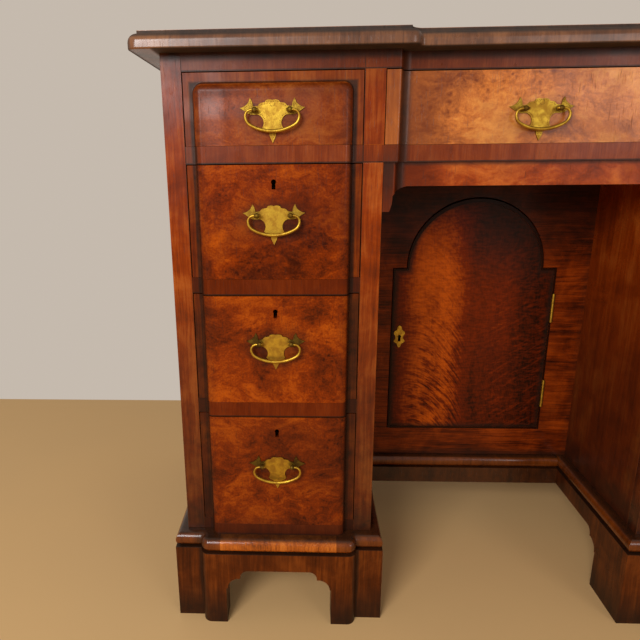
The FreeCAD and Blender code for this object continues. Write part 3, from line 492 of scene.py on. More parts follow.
@dataclass(frozen=True)
class CaseWood(Wood):
    """Walnut of the case, with painted shade under the top and in the gaps beside the drawers, darker towards
    the floor.

    Attributes:
        low: Band of heights over which the darkening of the lower case fades.
        foot: Band over which the painted shade and dirt in the crease over the base fade.
        high: Band over which the painted shade under the overhang of the top grows.
        shade: Band over which the painted shadow right under the top grows to black.
        joint: Band of the painted shade in the gap beside an opening, from its middle.
    """

    low: Band = (0.2, 0.6, 0.76, 0.0)
    foot: Band = (0.148, 0.26, 0.98, 0.0)
    high: Band = (0.69, 0.742, 0.0, 0.4)
    shade: Band = (0.74, 0.7505, 0.0, 0.98)
    joint: Band = (0.0004, 0.0011, 0.9, 0.0)

    def shade_and_dirt(self) -> Value:
        """Return the painted shade and the darkening of the case.

        Returns:
            The worst of the darkening low down and of the painted shade under the top and beside the drawers.
        """
        n = self.n
        across = n.off(n.size(n.x), PLAN.pedestal)
        joint = n.levels(n.off(across, PLAN.opening), *self.joint)
        bands = (self.low, self.foot, self.high, self.shade)
        # Painted shadow under the top, painted shade over the base and in the gaps, and darker low down.
        return n.most(joint, *(n.levels(n.z, *band) for band in bands))


@dataclass(frozen=True)
class SurroundWood(Wood):
    """Walnut round the cupboard door, with painted shade: black under the soffit, dark beside the pedestals and
    over the base.

    Attributes:
        high: Band of heights over which the painted shadow under the soffit grows to black.
        low: Band over which the painted shade along the base fades.
        side: Band across which the painted shade beside the pedestals grows.
    """

    high: Band = (0.44, 0.58, 0.0, 0.97)
    low: Band = (0.134, 0.15, 0.85, 0.12)
    side: Band = (0.165, 0.182, 0.0, 0.4)

    def shade_and_dirt(self) -> Value:
        """Return the painted shade under the soffit, beside the pedestals and along the base."""
        n = self.n
        # Painted shadow of the soffit and of the pedestals, and painted shade in the corner over the base.
        return n.most(n.levels(n.z, *self.high), n.levels(n.z, *self.low), n.levels(n.size(n.x), *self.side))


@dataclass(frozen=True)
class BlockWood(Wood):
    """Wood that follows the blocks of the front, with painted shade and dirt where it turns in to the plane
    behind.

    Attributes:
        half: Half width of the block.
        plane: Plane that the block stands out from.
        crown: Height at which the block closes.
        dusk: Height up to which the flanges are dark all over.
        dusk_fades: Starts and ends over that height of the fades of the dark, with its shares.
        pale: How dark the flanges are over that height.
        foot_low: Height over which the wood darkens downwards, black just over the base as painted shade and
            dirt.
        low_fades: Runs over that height of the fades of this darkening, with its shares.
        black: How far the block stands out where its turn stops being black.
        fade: Depth over which the black fades.
        shown: Band of depths from which the wood is in the open.
        beside: Band outside the block's outline from which the turn counts.
        near: Band outside the outline over which the black beside the block fades.
        inner: Band across which the dark of the inner flange fades.
        inner_low: Band of heights over which it starts.
        inner_high: Band of heights over which it ends.
        seam_lift: Height over a drawer's top of the painted shade in the gap above it.
        seam: Band of that painted shade, from its middle.
    """

    half: float = PLAN.block
    plane: float = PLAN.face
    crown: float = 10.0
    dusk: float = 0.42
    dusk_fades: tuple[Triple, ...] = ((0.0, 0.13, 0.88), (0.2, 0.24, 0.5))
    pale: float = 0.2
    foot_low: float = 0.134
    low_fades: tuple[tuple[float, float], ...] = ((0.055, 0.62), (0.008, 0.97))
    black: float = 0.0137
    fade: float = 0.0048
    shown: Band = (-0.002, -0.0006)
    beside: Band = (-0.016, -0.011)
    near: Band = (0.001, 0.0055, 1.0, 0.0)
    inner: Band = (PLAN.pedestal - 0.05, PLAN.pedestal, 1.0, 0.0)
    inner_low: Band = (0.32, 0.35)
    inner_high: Band = (0.46, 0.5, 1.0, 0.0)
    seam_lift: float = 0.0016
    seam: Band = (0.0009, 0.0016, 0.95, 0.0)

    def across(self) -> Socket:
        """Return the distance from the middle of the pedestal."""
        return self.n.off(self.n.size(self.n.x), PLAN.pedestal)

    def outside(self) -> Socket:
        """Return how far a place lies outside the block's outline."""
        return self.n.most(self.n.minus(self.across(), self.half), self.n.minus(self.n.z, self.crown))

    def depth(self) -> Socket:
        """Return how far a place stands out from the plane."""
        return self.n.minus(self.plane, self.n.y)

    def gap_shade(self) -> Socket:
        """Return the painted shade in the gaps over the drawers."""
        nearest = self.n.least(1.0, *(self.n.off(self.n.z, top + self.seam_lift) for top in PLAN.tops))
        return self.n.levels(nearest, *self.seam)

    def shade_and_dirt(self) -> Value:
        """Return painted shade and dirt in the turn beside the block, darkening low down and painted gap shade.

        Returns:
            The worst of the painted shade, dirt and darkening.
        """
        n, outside, depth = self.n, self.outside(), self.depth()
        dusk = (n.levels(n.z, self.dusk + start, self.dusk + end, share, self.pale)
                for start, end, share in self.dusk_fades)
        inner = n.window((n.size(n.x), self.inner), (n.z, self.inner_low), (n.z, self.inner_high))
        flange = n.most(n.levels(outside, *self.near), inner, *dusk)
        turned = (self.black - self.fade, self.black, 1.0, 0.0)
        # Painted shade and dirt in the turn where the block meets the flange.
        turn = n.product(n.window((depth, self.shown), (depth, turned), (outside, self.beside)), flange)
        # Darker towards the floor, with painted shade and dirt in the crease over the base.
        low = (n.levels(n.z, self.foot_low, self.foot_low + run, share, 0.0) for run, share in self.low_fades)
        # Painted shade in the gaps over the drawers.
        return n.most(turn, self.gap_shade(), *low)


@dataclass(frozen=True)
class FootWood(BlockWood):
    """Walnut of the bracket feet: painted shade in the turns and under the moulding, darker low down and
    inside.

    Attributes:
        ledge: Band of heights over which the painted shade under the moulding grows.
        inside: Band of depths over which the feet darken towards their inside.
        turned: Share of the painted shade and dirt in the turns.
    """

    dusk: float = -0.4
    foot_low: float = -1.0
    floor_darkening: Band = (0.004, 0.078, 0.92, 0.0)
    ledge: Band = (0.1118, 0.1126, 0.0, 0.97)
    inside: Band = (0.003, 0.014, 0.0, 0.4)
    turned: float = 0.9

    def shade_and_dirt(self) -> Value:
        """Return the painted shade and the darkening of the feet.

        Returns:
            The worst of the painted shade in the turns and under the moulding and the darkening low down and
            inside.
        """
        n = self.n
        turn = n.product(super().shade_and_dirt(), self.turned)
        inside = n.levels(n.minus(n.y, self.plane), *self.inside)
        # Painted shade under the moulding; darker near the floor and inside.
        return n.most(turn, inside, n.levels(n.z, *self.ledge), n.levels(n.z, *self.floor_darkening))


@dataclass(frozen=True)
class MouldWood(BlockWood):
    """Banded half-round of the base, with a darker length at each end of a block.

    Attributes:
        joint: Band across the joint in the banding, from the block's middle.
        upper: Band of heights over which the painted shade and dirt of the upper quirk grow to black.
        lower: Band over which the painted shade in the lower quirk fades.
        turn: Band outside the outline over which the painted shade in the turn fades.
    """

    beside: Band = (-0.012, -0.004)
    joint: Band = (0.0796, 0.0804, 1.0, 0.3)
    upper: Band = (0.1295, 0.133, 0.0, 0.95)
    lower: Band = (0.1138, 0.1165, 0.9, 0.0)
    turn: Band = (-0.003, 0.012, 0.75, 0.3)

    def tint(self, figure: Socket) -> Socket:
        """Return the banding, darker past the joints."""
        ends = self.n.levels(self.across(), *self.joint)
        return self.coloured(self.n.product(figure, ends), self.tone)

    def shade_and_dirt(self) -> Value:
        """Return the painted shade and dirt in the quirks above and below the half-round, and in its turns.

        Returns:
            The worst of the painted shade and dirt.
        """
        n, outside = self.n, self.outside()
        turn = n.window((outside, self.turn), (outside, self.beside))
        # Painted shade and dirt in the quirks and the turns of the half-round.
        return n.most(turn, n.levels(n.z, *self.upper), n.levels(n.z, *self.lower))


@dataclass(frozen=True)
class BurrWood(BlockWood):
    """Burr walnut of the drawer fronts, between straight-grained flanges.

    Attributes:
        pulls: Heights of the pulls, round which old wax gathers.
        halo: How dark the wood is round a pull.
        wax: Distances from a pull over which the dark fades.
        wax_drop: How far below a pull it is centred.
        wax_wide: Share of a distance across that counts, so that it spreads to the sides.
        ragged: How far its edge wanders.
        grit: Share of fine speckle in the burr.
        cushion: How far the face falls away towards its edges, in steps of the fine relief.
        brim: Distance over which it falls.
        turn: Width of the rounding outside it.
        flange: Band outside the outline over which the flange starts.
        margin: Band outside the outline over which the face darkens.
        face: Band of depths from which the wood is the block's face.
        dull: Band of heights over which the darkening of the lowest drawers fades.
    """

    pulls: tuple[float, ...] = ()
    halo: float = 0.5
    wax: Band = (0.012, 0.034)
    wax_drop: float = 0.008
    wax_wide: float = 0.62
    ragged: float = 0.03
    grit: float = 0.17
    cushion: float = 0.0
    brim: float = 0.028
    turn: float = 0.0125
    flange: Band = (-0.0025, -0.0015)
    margin: Band = (-0.022, -0.008, 0.0, 0.3)
    face: Band = (0.009, 0.012)
    dull: Band = (0.29, 0.34, 0.22, 0.0)

    def swelling(self) -> Value:
        """Return the cushion of the block's face, which falls to its sides and its top.

        Returns:
            The fall, in steps of the fine relief.
        """
        n = self.n
        sides = n.minus(self.half - self.turn, self.across())
        top = n.minus(self.crown - self.turn, n.z)
        fall = (0.0, self.brim, -self.cushion, 0.0)
        return n.total((n.levels(sides, *fall), 1.0), (n.levels(top, *fall), 1.0))

    def burr(self) -> Socket:
        """Return the clouded, curled and knotted figure of the burr.

        Returns:
            The figure, from 0, dark, to 1, light.
        """
        n = self.n
        curled = n.bend(n.bend(n.where, 9.0, 0.07), 38.0, 0.016)
        clouds = n.cloud(curled, 13.0, 6.0, 0.6, 0.4)
        curls = n.cloud(n.stretch(curled, (0.4, 1.0, 1.0)), 120.0, 5.0, 0.66, 0.8)
        speckle = n.cloud(n.where, 420.0, 3.0, 0.6)
        cells = n.add("ShaderNodeTexVoronoi", {"Vector": n.bend(curled, 120.0, 0.005), "Scale": 120.0})
        knots = n.product(n.levels(cells.outputs["Distance"], 0.1, 0.42, 1.0, 0.0),
                          n.levels(n.cloud(n.where, 17.0, 2.0, 0.5, 0.5), 0.5, 0.62))
        mixed = n.total((clouds, 0.72 - self.grit), (curls, 0.28), (speckle, self.grit))
        return n.total((n.levels(mixed, 0.35, 0.66), 1.0), (knots, -0.24))

    def figure(self) -> Socket:
        """Return the burr on the block and straight grain on the flanges."""
        return self.n.choose(self.n.levels(self.outside(), *self.flange), self.burr(), self.straight())

    def around(self) -> Socket:
        """Return the old wax round the pulls.

        Returns:
            The share of dirt.
        """
        n = self.n
        nearest = n.least(1.0, *(n.off(n.z, pull - self.wax_drop) for pull in self.pulls))
        reach = n.span(n.product(self.across(), self.wax_wide), nearest)
        wander = n.cloud(n.where, 30.0, 3.0, seed=ALIKE)
        reach = n.total((reach, 1.0), (wander, self.ragged), (-self.ragged/2, 1.0))
        return n.levels(reach, *self.wax, self.halo, 0.0)

    def shade_and_dirt(self) -> Value:
        """Return the painted shade and dirt in the turn beside the block, the face's margin and the wax round
        the pulls.
        """
        margin = self.n.window((self.outside(), self.margin), (self.depth(), self.face))
        # Painted shade and dirt from the block, old wax round the pulls, the lowest drawers' darkening and the
        # margin.
        return self.n.most(super().shade_and_dirt(), self.around(), self.n.levels(self.n.z, *self.dull), margin)


@dataclass(frozen=True)
class RecessBurr(BurrWood):
    """Burr walnut of the recessed middle of the front, with painted shade in the coves at its ends.

    Attributes:
        falling: Band outside the recess over which the figure darkens towards a cove.
        flange_light: How light the figure of a flange is.
        cove_rise: Band outside the recess over which the painted shade of a cove grows.
        cove_fall: Band over which it fades.
        cove_shade: Its share.
    """

    half: float = PLAN.recess
    falling: Band = (-0.075, -0.028, 1.0, 0.3)
    flange_light: float = 0.36
    cove_rise: Band = (-PLAN.cove - 0.004, -0.011)
    cove_fall: Band = (-0.007, -0.001, 1.0, 0.0)
    cove_shade: float = 0.9

    def across(self) -> Socket:
        """Return the distance from the middle of the recess."""
        return self.n.size(self.n.x)

    def outside(self) -> Socket:
        """Return how far a place lies outside the recess."""
        return self.n.minus(self.across(), self.half)

    def tint(self, figure: Socket) -> Socket:
        """Return the figure's colour, darker on the flanges and towards the coves.

        Args:
            figure: The figure.

        Returns:
            The colour.
        """
        n, outside = self.n, self.outside()
        light = n.choose(n.levels(outside, *self.flange), n.levels(outside, *self.falling), self.flange_light)
        return self.coloured(n.product(figure, light), self.tone)

    def coves(self) -> Socket:
        """Return the painted shade in the coves of the recess."""
        n, outside = self.n, self.outside()
        # Painted shade in the concave coves of the recess.
        return n.product(n.window((outside, self.cove_rise), (outside, self.cove_fall)), self.cove_shade)

    def shade_and_dirt(self) -> Value:
        """Return the painted shade in the coves and the old wax round the pull."""
        return self.n.most(self.coves(), self.around())


@dataclass(frozen=True)
class ApronWood(RecessBurr):
    """Veneered apron, with painted shade in its coves, on its end brackets and under the rail.

    Attributes:
        under: Band of heights over which the painted shadow of the rail grows.
        bracket: Band outside the recess over which an end bracket starts.
        bracket_shade: Band of heights over which the painted shade at a bracket's top grows.
    """

    under: Band = (0.6265, 0.6315, 0.0, 0.85)
    bracket: Band = (-0.002, 0.001)
    bracket_shade: Band = (0.5825, 0.6245, 0.45, 0.92)

    def shade_and_dirt(self) -> Value:
        """Return the painted shade in the coves, on the end brackets and under the rail.

        Returns:
            The worst of the painted shade.
        """
        n = self.n
        ends = n.window((self.outside(), self.bracket), (n.z, self.bracket_shade))
        # Painted shadow under the rail and painted shade in the coves and on the brackets.
        return n.most(self.coves(), n.levels(n.z, *self.under), ends)


@dataclass(frozen=True)
class RecessRail(RecessBurr):
    """Rail over the whole front, with painted shade in the turns of the recess and of the blocks.

    Attributes:
        stile: Distances of an inner stile's edges from the middle.
        line: Half width of the line between a stile and the banding.
        joint: Band of the dark joint along that line, from its middle.
        shelf: Band of heights over which the stiles stop running through the rail.
    """

    stile: tuple[float, float] = (0.182, 0.206)
    line: float = 0.0002
    joint: Band = (0.0002, 0.0006, 0.8, 0.0)
    shelf: Band = (0.66, 0.661, 1.0, 0.0)

    def figure(self) -> Socket:
        """Return the short upright grain of the banding."""
        return self.straight()

    def crossing(self) -> Socket:
        """Return where an inner stile runs through the rail.

        Returns:
            1 on the stile, elsewhere 0.
        """
        across, (inner, outer) = self.across(), self.stile
        start = (inner - self.line, inner + self.line)
        end = (outer - self.line, outer + self.line, 1.0, 0.0)
        return self.n.window((across, start), (across, end), (self.n.z, self.shelf))

    def tint(self, figure: Socket) -> Socket:
        """Return the banding, and the stiles' colour where they run through."""
        rail, stile = (self.coloured(figure, tone) for tone in (self.tone, STILE_TONE))
        return self.n.blend(self.crossing(), rail, stile)

    def shade_and_dirt(self) -> Value:
        """Return painted shade and dirt in the recess, beside the blocks, under the top and in gaps, and the
        joints.

        Returns:
            The worst of the painted shade, dirt and joints.
        """
        n, across = self.n, self.across()
        low = n.levels(n.z, *self.shelf)
        case, block = (beside("", self.tone, n=n).shade_and_dirt() for beside in (CaseWood, BlockWood))
        joints = (n.product(n.levels(n.off(across, edge), *self.joint), low) for edge in self.stile)
        # Painted shade from the coves, the case, the blocks and the gaps; the stile lines are dark joints of
        # the veneer.
        return n.most(self.coves(), case, n.product(block, low), self.gap_shade(), *joints)


@dataclass(frozen=True)
class FlameWood(Wood):
    """Flame walnut of the door: a bright plume crossed by ripples, in a black bead.

    Attributes:
        half: Half width of the door.
        shoulder: Height of its shoulders.
        arch: Radius of its arch.
        spring: Height of the arch's centre.
        foot: Height of its lower edge.
        margin: Band inside the outline over which the dark margin fades.
        sunk: Band of depths over which the bead gives way to the panel.
        plume: Bands of the plume: its left side, its right side and its top.
        patch: Bands of the pale patch beside it: left, right, foot and top.
        right: Band across which the figure darkens to the right.
        ripple: Ripples a metre.
        bow: How fast the ripples bow down to the right.
        bow_start: Place at which they start to bow.
        rippled: Bands of the ripples: their left, their right and their height.
        slant: Slope of the streaks on the right.
        streaked: Bands of these streaks: their left and their height.
        corner: Bands of the painted shade, with some dark stain, at the upper right: across and up.
        crest: Band of heights over which the painted shadow of the apron under the arch grows.
    """

    half: float = 0.13
    shoulder: float = 0.466
    arch: float = 0.108
    spring: float = 0.469
    foot: float = 0.184
    margin: Band = (0.0032, 0.013, 0.85, 0.0)
    sunk: Band = (0.0001, 0.0004, 1.0, 0.0)
    plume: tuple[Band, ...] = (
        (-0.125, -0.075, 0.35, 1.0), (-0.045, 0.012, 1.0, 0.26), (0.46, 0.56, 1.0, 0.7))
    patch: tuple[Band, ...] = (
        (-0.01, 0.02), (0.055, 0.085, 1.0, 0.0), (0.27, 0.36), (0.48, 0.54, 1.0, 0.0))
    right: Band = (0.05, 0.1, 1.0, 0.4)
    ripple: float = 140.0
    bow: float = 9.0
    bow_start: float = -0.1
    rippled: tuple[Band, ...] = ((-0.118, -0.075), (-0.028, 0.0, 1.0, 0.12), (0.24, 0.44, 1.0, 0.2))
    slant: float = 0.62
    streaked: tuple[Band, ...] = ((0.01, 0.05), (0.3, 0.46, 1.0, 0.4))
    corner: tuple[Band, ...] = ((-0.03, 0.03), (0.4, 0.56, 0.0, 0.85))
    crest: Band = (0.52, 0.575, 0.0, 0.6)

    def figure(self) -> Socket:
        """Return the plume, its ripples and the streaks beside it.

        Returns:
            The figure, from 0, dark, to 1, light.
        """
        n = self.n
        x, _, z = n.split(n.bend(n.where, 9.0, 0.022))
        fibres = n.cloud(n.join(x, 0.0, n.product(z, 0.1)), 100.0, 4.0, 0.62, 0.4)
        clouds = n.cloud(n.join(x, 0.0, n.product(z, 0.6)), 16.0, 4.0, 0.55, 0.8)
        plume = n.window(*zip((x, x, z), self.plume))
        patch = n.window(*zip((x, x, z, z), self.patch))
        base = n.product(plume, n.levels(x, *self.right), n.levels(clouds, 0.3, 0.6, 0.55, 1.0))
        return n.total((base, 0.95), (fibres, 0.24), (self.ripples(x, z), -0.5), (self.climbing(x, z), 0.2),
                       (self.hatched(x, z), 0.24), (patch, 0.1), (-0.21, 1.0))

    def threads(self, place: tuple[Value, Value, Value], count: float, warp: float = 0.2) -> Socket:
        """Return fine threads at a place, so many a metre."""
        return self.n.cloud(self.n.join(*place), count, 2.0, 0.5, warp)

    def hatched(self, x: Socket, z: Socket) -> Socket:
        """Return the fine crossed threads over the middle of the door.

        Args:
            x: The bent place's x.
            z: Its z.

        Returns:
            The threads, 1 where they are pale.
        """
        n = self.n
        level = self.threads((n.product(x, 0.3), 0.7, z), 260.0, 0.3)
        steep = self.threads((x, 0.9, n.product(z, 0.3)), 300.0, 0.3)
        return n.total((n.levels(level, 0.38, 0.62), 0.65), (n.levels(steep, 0.38, 0.62), 0.35))

    def ripples(self, x: Socket, z: Socket) -> Socket:
        """Return the dark ripples that bow down across the plume.

        Args:
            x: The bent place's x.
            z: Its z.

        Returns:
            The ripples, 1 where they are dark.
        """
        n = self.n
        lean = n.most(n.minus(x, self.bow_start), 0.0)
        phase = n.total((n.product(lean, lean), self.bow), (z, 1.0))
        broad = self.threads((n.product(x, 0.26), 0.0, phase), self.ripple)
        fine = self.threads((n.product(x, 0.2), 0.3, phase), self.ripple*2.1)
        lines = n.total((n.levels(broad, 0.49, 0.59), 0.75), (n.levels(fine, 0.49, 0.58), 0.5))
        return n.product(lines, n.window(*zip((x, x, z), self.rippled)))

    def climbing(self, x: Socket, z: Socket) -> Socket:
        """Return the pale streaks that climb to the right of the plume.

        Args:
            x: The bent place's x.
            z: Its z.

        Returns:
            The streaks, 1 where they are pale.
        """
        n = self.n
        phase = n.total((x, -self.slant), (z, 1.0))
        lines = self.threads((n.product(x, 0.2), 0.0, phase), 150.0)
        return n.product(n.levels(lines, 0.5, 0.66), n.window(*zip((x, z), self.streaked)))

    def inset(self) -> Value:
        """Return how far inside the door's outline a place lies.

        Returns:
            The distance.
        """
        n = self.n
        side, top = n.minus(self.half, n.size(n.x)), n.minus(self.shoulder, n.z)
        bottom = n.minus(n.z, self.foot)
        rise = n.most(n.minus(n.z, self.spring), 0.0)
        arch = n.minus(self.arch, n.span(n.x, rise))
        return n.most(n.least(side, bottom, top), n.least(arch, bottom))

    def panel(self) -> Socket:
        """Return 1 on the panel and 0 on the bead round it."""
        return self.n.levels(self.n.minus(PLAN.door_face, self.n.y), *self.sunk)

    def tint(self, figure: Socket) -> Socket:
        """Return the figure's colour, black on the bead."""
        return self.coloured(self.n.product(figure, self.panel()), self.tone)

    def shade_and_dirt(self) -> Value:
        """Return the dark margin, the painted shade at the upper right and the painted shadow at the arch.

        Returns:
            The worst of the margin and the painted shade.
        """
        n = self.n
        corner = n.window(*zip((n.x, n.z), self.corner))
        # Painted shade at the upper right and at the top of the arch.
        worst = n.most(n.levels(self.inset(), *self.margin), corner, n.levels(n.z, *self.crest))
        return n.product(self.panel(), worst)


@dataclass(frozen=True)
class TopWood(Wood):
    """Veneered top: matched figure inside a crossbanded border, banding down its edges.

    Attributes:
        half: Half length of the top.
        front: Front edge of its middle.
        back: Back edge.
        border: Width of the banding.
        mitre: Half width of the joint where its lengths meet.
        edge: Half width of the joint inside it.
        line: Band of the dark line on that joint, from its middle.
        face: Band of heights at which the upper face starts.
        lip: Band of heights over which the dirt of the lip and the painted shade of the quirk under it grow.
        ends: Band across which the painted shade on the ends grows.
        under: Band of heights at which the underside ends.
        case: Band across which the painted shadow on the underside over the case fades.
    """

    half: float = 0.471
    front: float = -0.24
    back: float = 0.259
    border: float = 0.056
    mitre: float = 0.0005
    edge: float = 0.0003
    line: Band = (0.0014, 0.0018, 1.0, 0.0)
    face: Band = (0.7749, 0.7754)
    lip: Band = (0.766, 0.7698, 0.0, 0.96)
    ends: Band = (0.465, 0.47, 0.0, 0.9)
    under: Band = (0.7552, 0.757, 1.0, 0.0)
    case: Band = (0.44, 0.446, 0.97, 0.0)

    def banding(self, side: Socket, ends: Socket) -> Socket:
        """Return the figure of the crossbanding.

        Args:
            side: Distance from the nearer end of the top.
            ends: Distance from its front or back edge.

        Returns:
            The figure.
        """
        n = self.n
        across, deep = (n.cloud(n.stretch(n.where, scale), 420.0, 5.0, 0.66, 0.6)
                        for scale in ((1.0, 0.08, 0.08), (0.08, 1.0, 0.08)))
        lengths = n.choose(n.levels(n.minus(side, ends), -self.mitre, self.mitre), deep, across)
        return n.total((lengths, 0.36), (n.cloud(n.where, 22.0, 4.0, 0.6, 0.5), 0.64))

    def matched(self) -> Socket:
        """Return the figure of the field, matched about both middles.

        Returns:
            The figure.
        """
        n = self.n
        quarter = n.join(n.size(n.x), n.size(n.y), n.z)
        leaf = n.stretch(n.bend(quarter, 6.0, 0.11), (0.35, 1.0, 1.0))
        return n.total((n.cloud(leaf, 30.0, 6.0, 0.62, 0.8), 0.6), (n.cloud(leaf, 150.0, 4.0, 0.6, 0.3), 0.4))

    def figure(self) -> Socket:
        """Return the matched figure and its crossbanding.

        Returns:
            The figure, from 0, dark, to 1, light.
        """
        n = self.n
        side = n.minus(self.half, n.size(n.x))
        ends = n.least(n.minus(n.y, self.front), n.minus(self.back, n.y))
        inset = n.least(side, ends)
        in_field = n.levels(inset, self.border - self.edge, self.border + self.edge)
        figure = n.levels(n.choose(in_field, self.banding(side, ends), self.matched()), 0.32, 0.68)
        return n.choose(n.levels(n.off(inset, self.border), *self.line), figure, 0.0)

    def tint(self, figure: Socket) -> Socket:
        """Return the figure's colour, warmer on the upper face than on the edges."""
        edge, face = (self.coloured(figure, tone) for tone in (self.tone, FIELD_TONE))
        return self.n.blend(self.n.levels(self.n.z, *self.face), edge, face)

    def shade_and_dirt(self) -> Value:
        """Return the dirt on the lip, and painted shade in the quirk under it, round the ends and on the
        underside.

        Returns:
            The worst of the dirt and the painted shade.
        """
        n, across = self.n, self.n.size(self.n.x)
        edges = n.most(n.levels(n.z, *self.lip), n.levels(across, *self.ends))
        below = n.levels(n.z, *self.face, 1.0, 0.0)
        # Painted shade on the ends and painted shadow on the underside over the case; dirt on the lip.
        return n.most(n.product(below, edges), n.window((n.z, self.under), (across, self.case)))


@dataclass(frozen=True)
class AgedBrass:
    """Cast brass with a golden face and brown tarnish in its hollows.

    Attributes:
        name: Name of the finish.
        bright: Colour of the rubbed metal.
        dull: Colour of the tarnish.
        brown: Colour of the dirt in the hollows.
        rubbed: How far its edges are rubbed bright.
        reach: Width of the hollows that gather dirt.
        relief: Depth of its fine relief.
        n: Nodes of the material.
    """

    name: str = "aged_brass"
    bright: Colour = (0.54, 0.345, 0.04)
    dull: Colour = (0.33, 0.175, 0.022)
    brown: Colour = (0.045, 0.024, 0.008)
    rubbed: float = 0.7
    reach: float = 0.004
    relief: float = 0.00016
    n: FinishNodes = field(default_factory=FinishNodes)

    def dirt(self) -> Value:
        """Return how tarnished a place is, apart from the hollows."""
        return 0.0

    def make(self) -> bpy.types.Material:
        """Build the material.

        Returns:
            The material.
        """
        n = self.n
        tarnish = n.cloud(n.where, 120.0, 5.0, 0.62, 0.4)
        grit = n.cloud(n.where, 900.0, 3.0, 0.6)
        hollow = n.add("ShaderNodeAmbientOcclusion", {"Distance": self.reach}, only_local=True, samples=8)
        sunk = n.levels(hollow.outputs["AO"], 0.45, 0.85, 0.9, 0.0)
        dirt = n.most(sunk, n.product(self.dirt(), n.levels(tarnish, 0.25, 0.6, 1.0, 0.8)))
        colour = n.ramp(n.levels(tarnish, 0.36, 0.64), [(0.0, self.dull), (1.0, self.bright)])
        colour = n.blend(n.product(n.edge, self.rubbed), colour, self.bright)
        colour = n.blend(dirt, colour, self.brown)
        rough = n.total((n.levels(tarnish, 0.3, 0.7, 0.16, 0.0), 1.0), (grit, 0.12), (dirt, 0.2), (0.3, 1.0))
        height = n.total((grit, 0.4), (tarnish, 1.0))
        return n.surface(self.name, {"Base Color": colour, "Roughness": rough, "Metallic": 1.0,
                                     "Normal": n.bump(height, self.relief)})


@dataclass(frozen=True)
class PlateBrass(AgedBrass):
    """Brass of the back plates: bright in the middle, brown on the wings and round the outline.

    Attributes:
        block: Plane of the block faces.
        recess: Plane of the recess's face.
        stile: Band across the inner stile, which parts the recess from the blocks.
        wing: Band from a plate's middle over which its tarnish grows.
        rows: Band of heights over which the tarnish of the lower plates fades.
        rim: Band of the facing over which the dirt of the outline fades.
        head: Band of depths over which the dirt of the posts' heads fades.
        lock: Band of depths over which the dirt of the locks grows.
    """

    block: float = PLAN.face - 0.014
    recess: float = PLAN.face + 0.016
    stile: Band = (0.19, 0.2)
    wing: Band = (0.011, 0.022)
    rows: Band = (0.43, 0.56, 0.96, 0.4)
    rim: Band = (0.45, 0.9, 0.9, 0.0)
    head: Band = (-0.006, -0.003, 0.8, 0.0)
    lock: Band = (0.01, 0.014, 0.0, 0.98)

    def dirt(self) -> Value:
        """Return the tarnish of the wings, worse on the lower drawers, of the outline, posts and locks.

        Returns:
            The worst of the tarnish.
        """
        n, across = self.n, self.n.size(self.n.x)
        off = n.least(n.off(across, PLAN.pedestal), across)
        facing = n.add("ShaderNodeTexCoord", {}).outputs["Normal"]
        rim = n.levels(n.size(n.split(facing)[1]), *self.rim)
        depth = n.minus(n.y, n.choose(n.levels(across, *self.stile), self.recess, self.block))
        return n.most(n.window((off, self.wing), (n.z, self.rows)), rim, n.levels(depth, *self.head),
                      n.levels(depth, *self.lock))


class SolidSorter:
    """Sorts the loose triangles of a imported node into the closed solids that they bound."""

    def __init__(self, mesh: bpy.types.Mesh) -> None:
        """Weld the triangles' corners and pair their edges.

        Args:
            mesh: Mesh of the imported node.
        """
        self.points: list[Vector] = []
        self.triangles: list[tuple[int, ...]] = []
        keys: dict[tuple[int, ...], int] = {}
        spots = []
        for vertex in mesh.vertices:
            key = tuple(round(value/WELD) for value in vertex.co)
            if key not in keys:
                keys[key] = len(self.points)
                self.points.append(vertex.co.copy())
            spots.append(keys[key])
        for polygon in mesh.polygons:
            corners = tuple(spots[index] for index in polygon.vertices)
            if len(set(corners)) == len(corners):
                self.triangles.append(corners)
        self.owner = list(range(len(self.triangles)))
        self.pair_edges()

    def root(self, index: int) -> int:
        """Return the triangle that stands for the solid of a triangle.

        Args:
            index: Number of the triangle.

        Returns:
            Number of the triangle that stands for the solid.
        """
        while self.owner[index] != index:
            self.owner[index] = self.owner[self.owner[index]]
            index = self.owner[index]
        return index

    def turn(self, start: int, end: int, apex: int, other: int) -> float:
        """Return the angle through the material from one triangle to another at their edge.

        Args:
            start: First corner of the edge.
            end: Second corner of the edge.
            apex: Third corner of the first triangle.
            other: Third corner of the other triangle.

        Returns:
            The angle, with triangles that lie on each other last.
        """
        axis = (self.points[end] - self.points[start]).normalized()
        first = self.points[apex] - self.points[start]
        first = (first - axis*first.dot(axis)).normalized()
        second = self.points[other] - self.points[start]
        inward = first.cross(axis)
        angle = math.atan2(second.dot(inward), second.dot(first)) % math.tau
        return angle if angle > OVERLAID else math.tau

    def pair_edges(self) -> None:
        """Join each triangle to its neighbour round the same material at each edge."""
        uses = defaultdict(list)
        for index, corners in enumerate(self.triangles):
            for corner, start in enumerate(corners):
                end, apex = corners[(corner + 1) % 3], corners[(corner + 2) % 3]
                uses[start, end].append((index, apex))
        for (start, end), sides in uses.items():
            mates = uses.get((end, start), [])
            for index, apex in sides:
                if mates:
                    mate = min(mates, key=lambda item: self.turn(start, end, apex, item[1]))
                    self.owner[self.root(index)] = self.root(mate[0])

    def solids(self) -> list[list[tuple[int, ...]]]:
        """Return the triangles of each solid.

        Returns:
            The triangles, solid by solid.
        """
        groups = defaultdict(list)
        for index, corners in enumerate(self.triangles):
            groups[self.root(index)].append(corners)
        return list(groups.values())

    def fill(self, work: bmesh.types.BMesh, seed: float) -> None:
        """Add the solids to a mesh, each with corners of its own and a seed of its own.

        Args:
            work: The mesh to fill.
            seed: Seed of the first solid.
        """
        seeds = work.verts.layers.float.new("seed")
        for count, solid in enumerate(self.solids()):
            corners = {}
            for triangle in solid:
                for spot in triangle:
                    if spot not in corners:
                        corners[spot] = work.verts.new(self.points[spot])
                        corners[spot][seeds] = seed + SOLID_SEED*count
                work.faces.new([corners[spot] for spot in triangle])


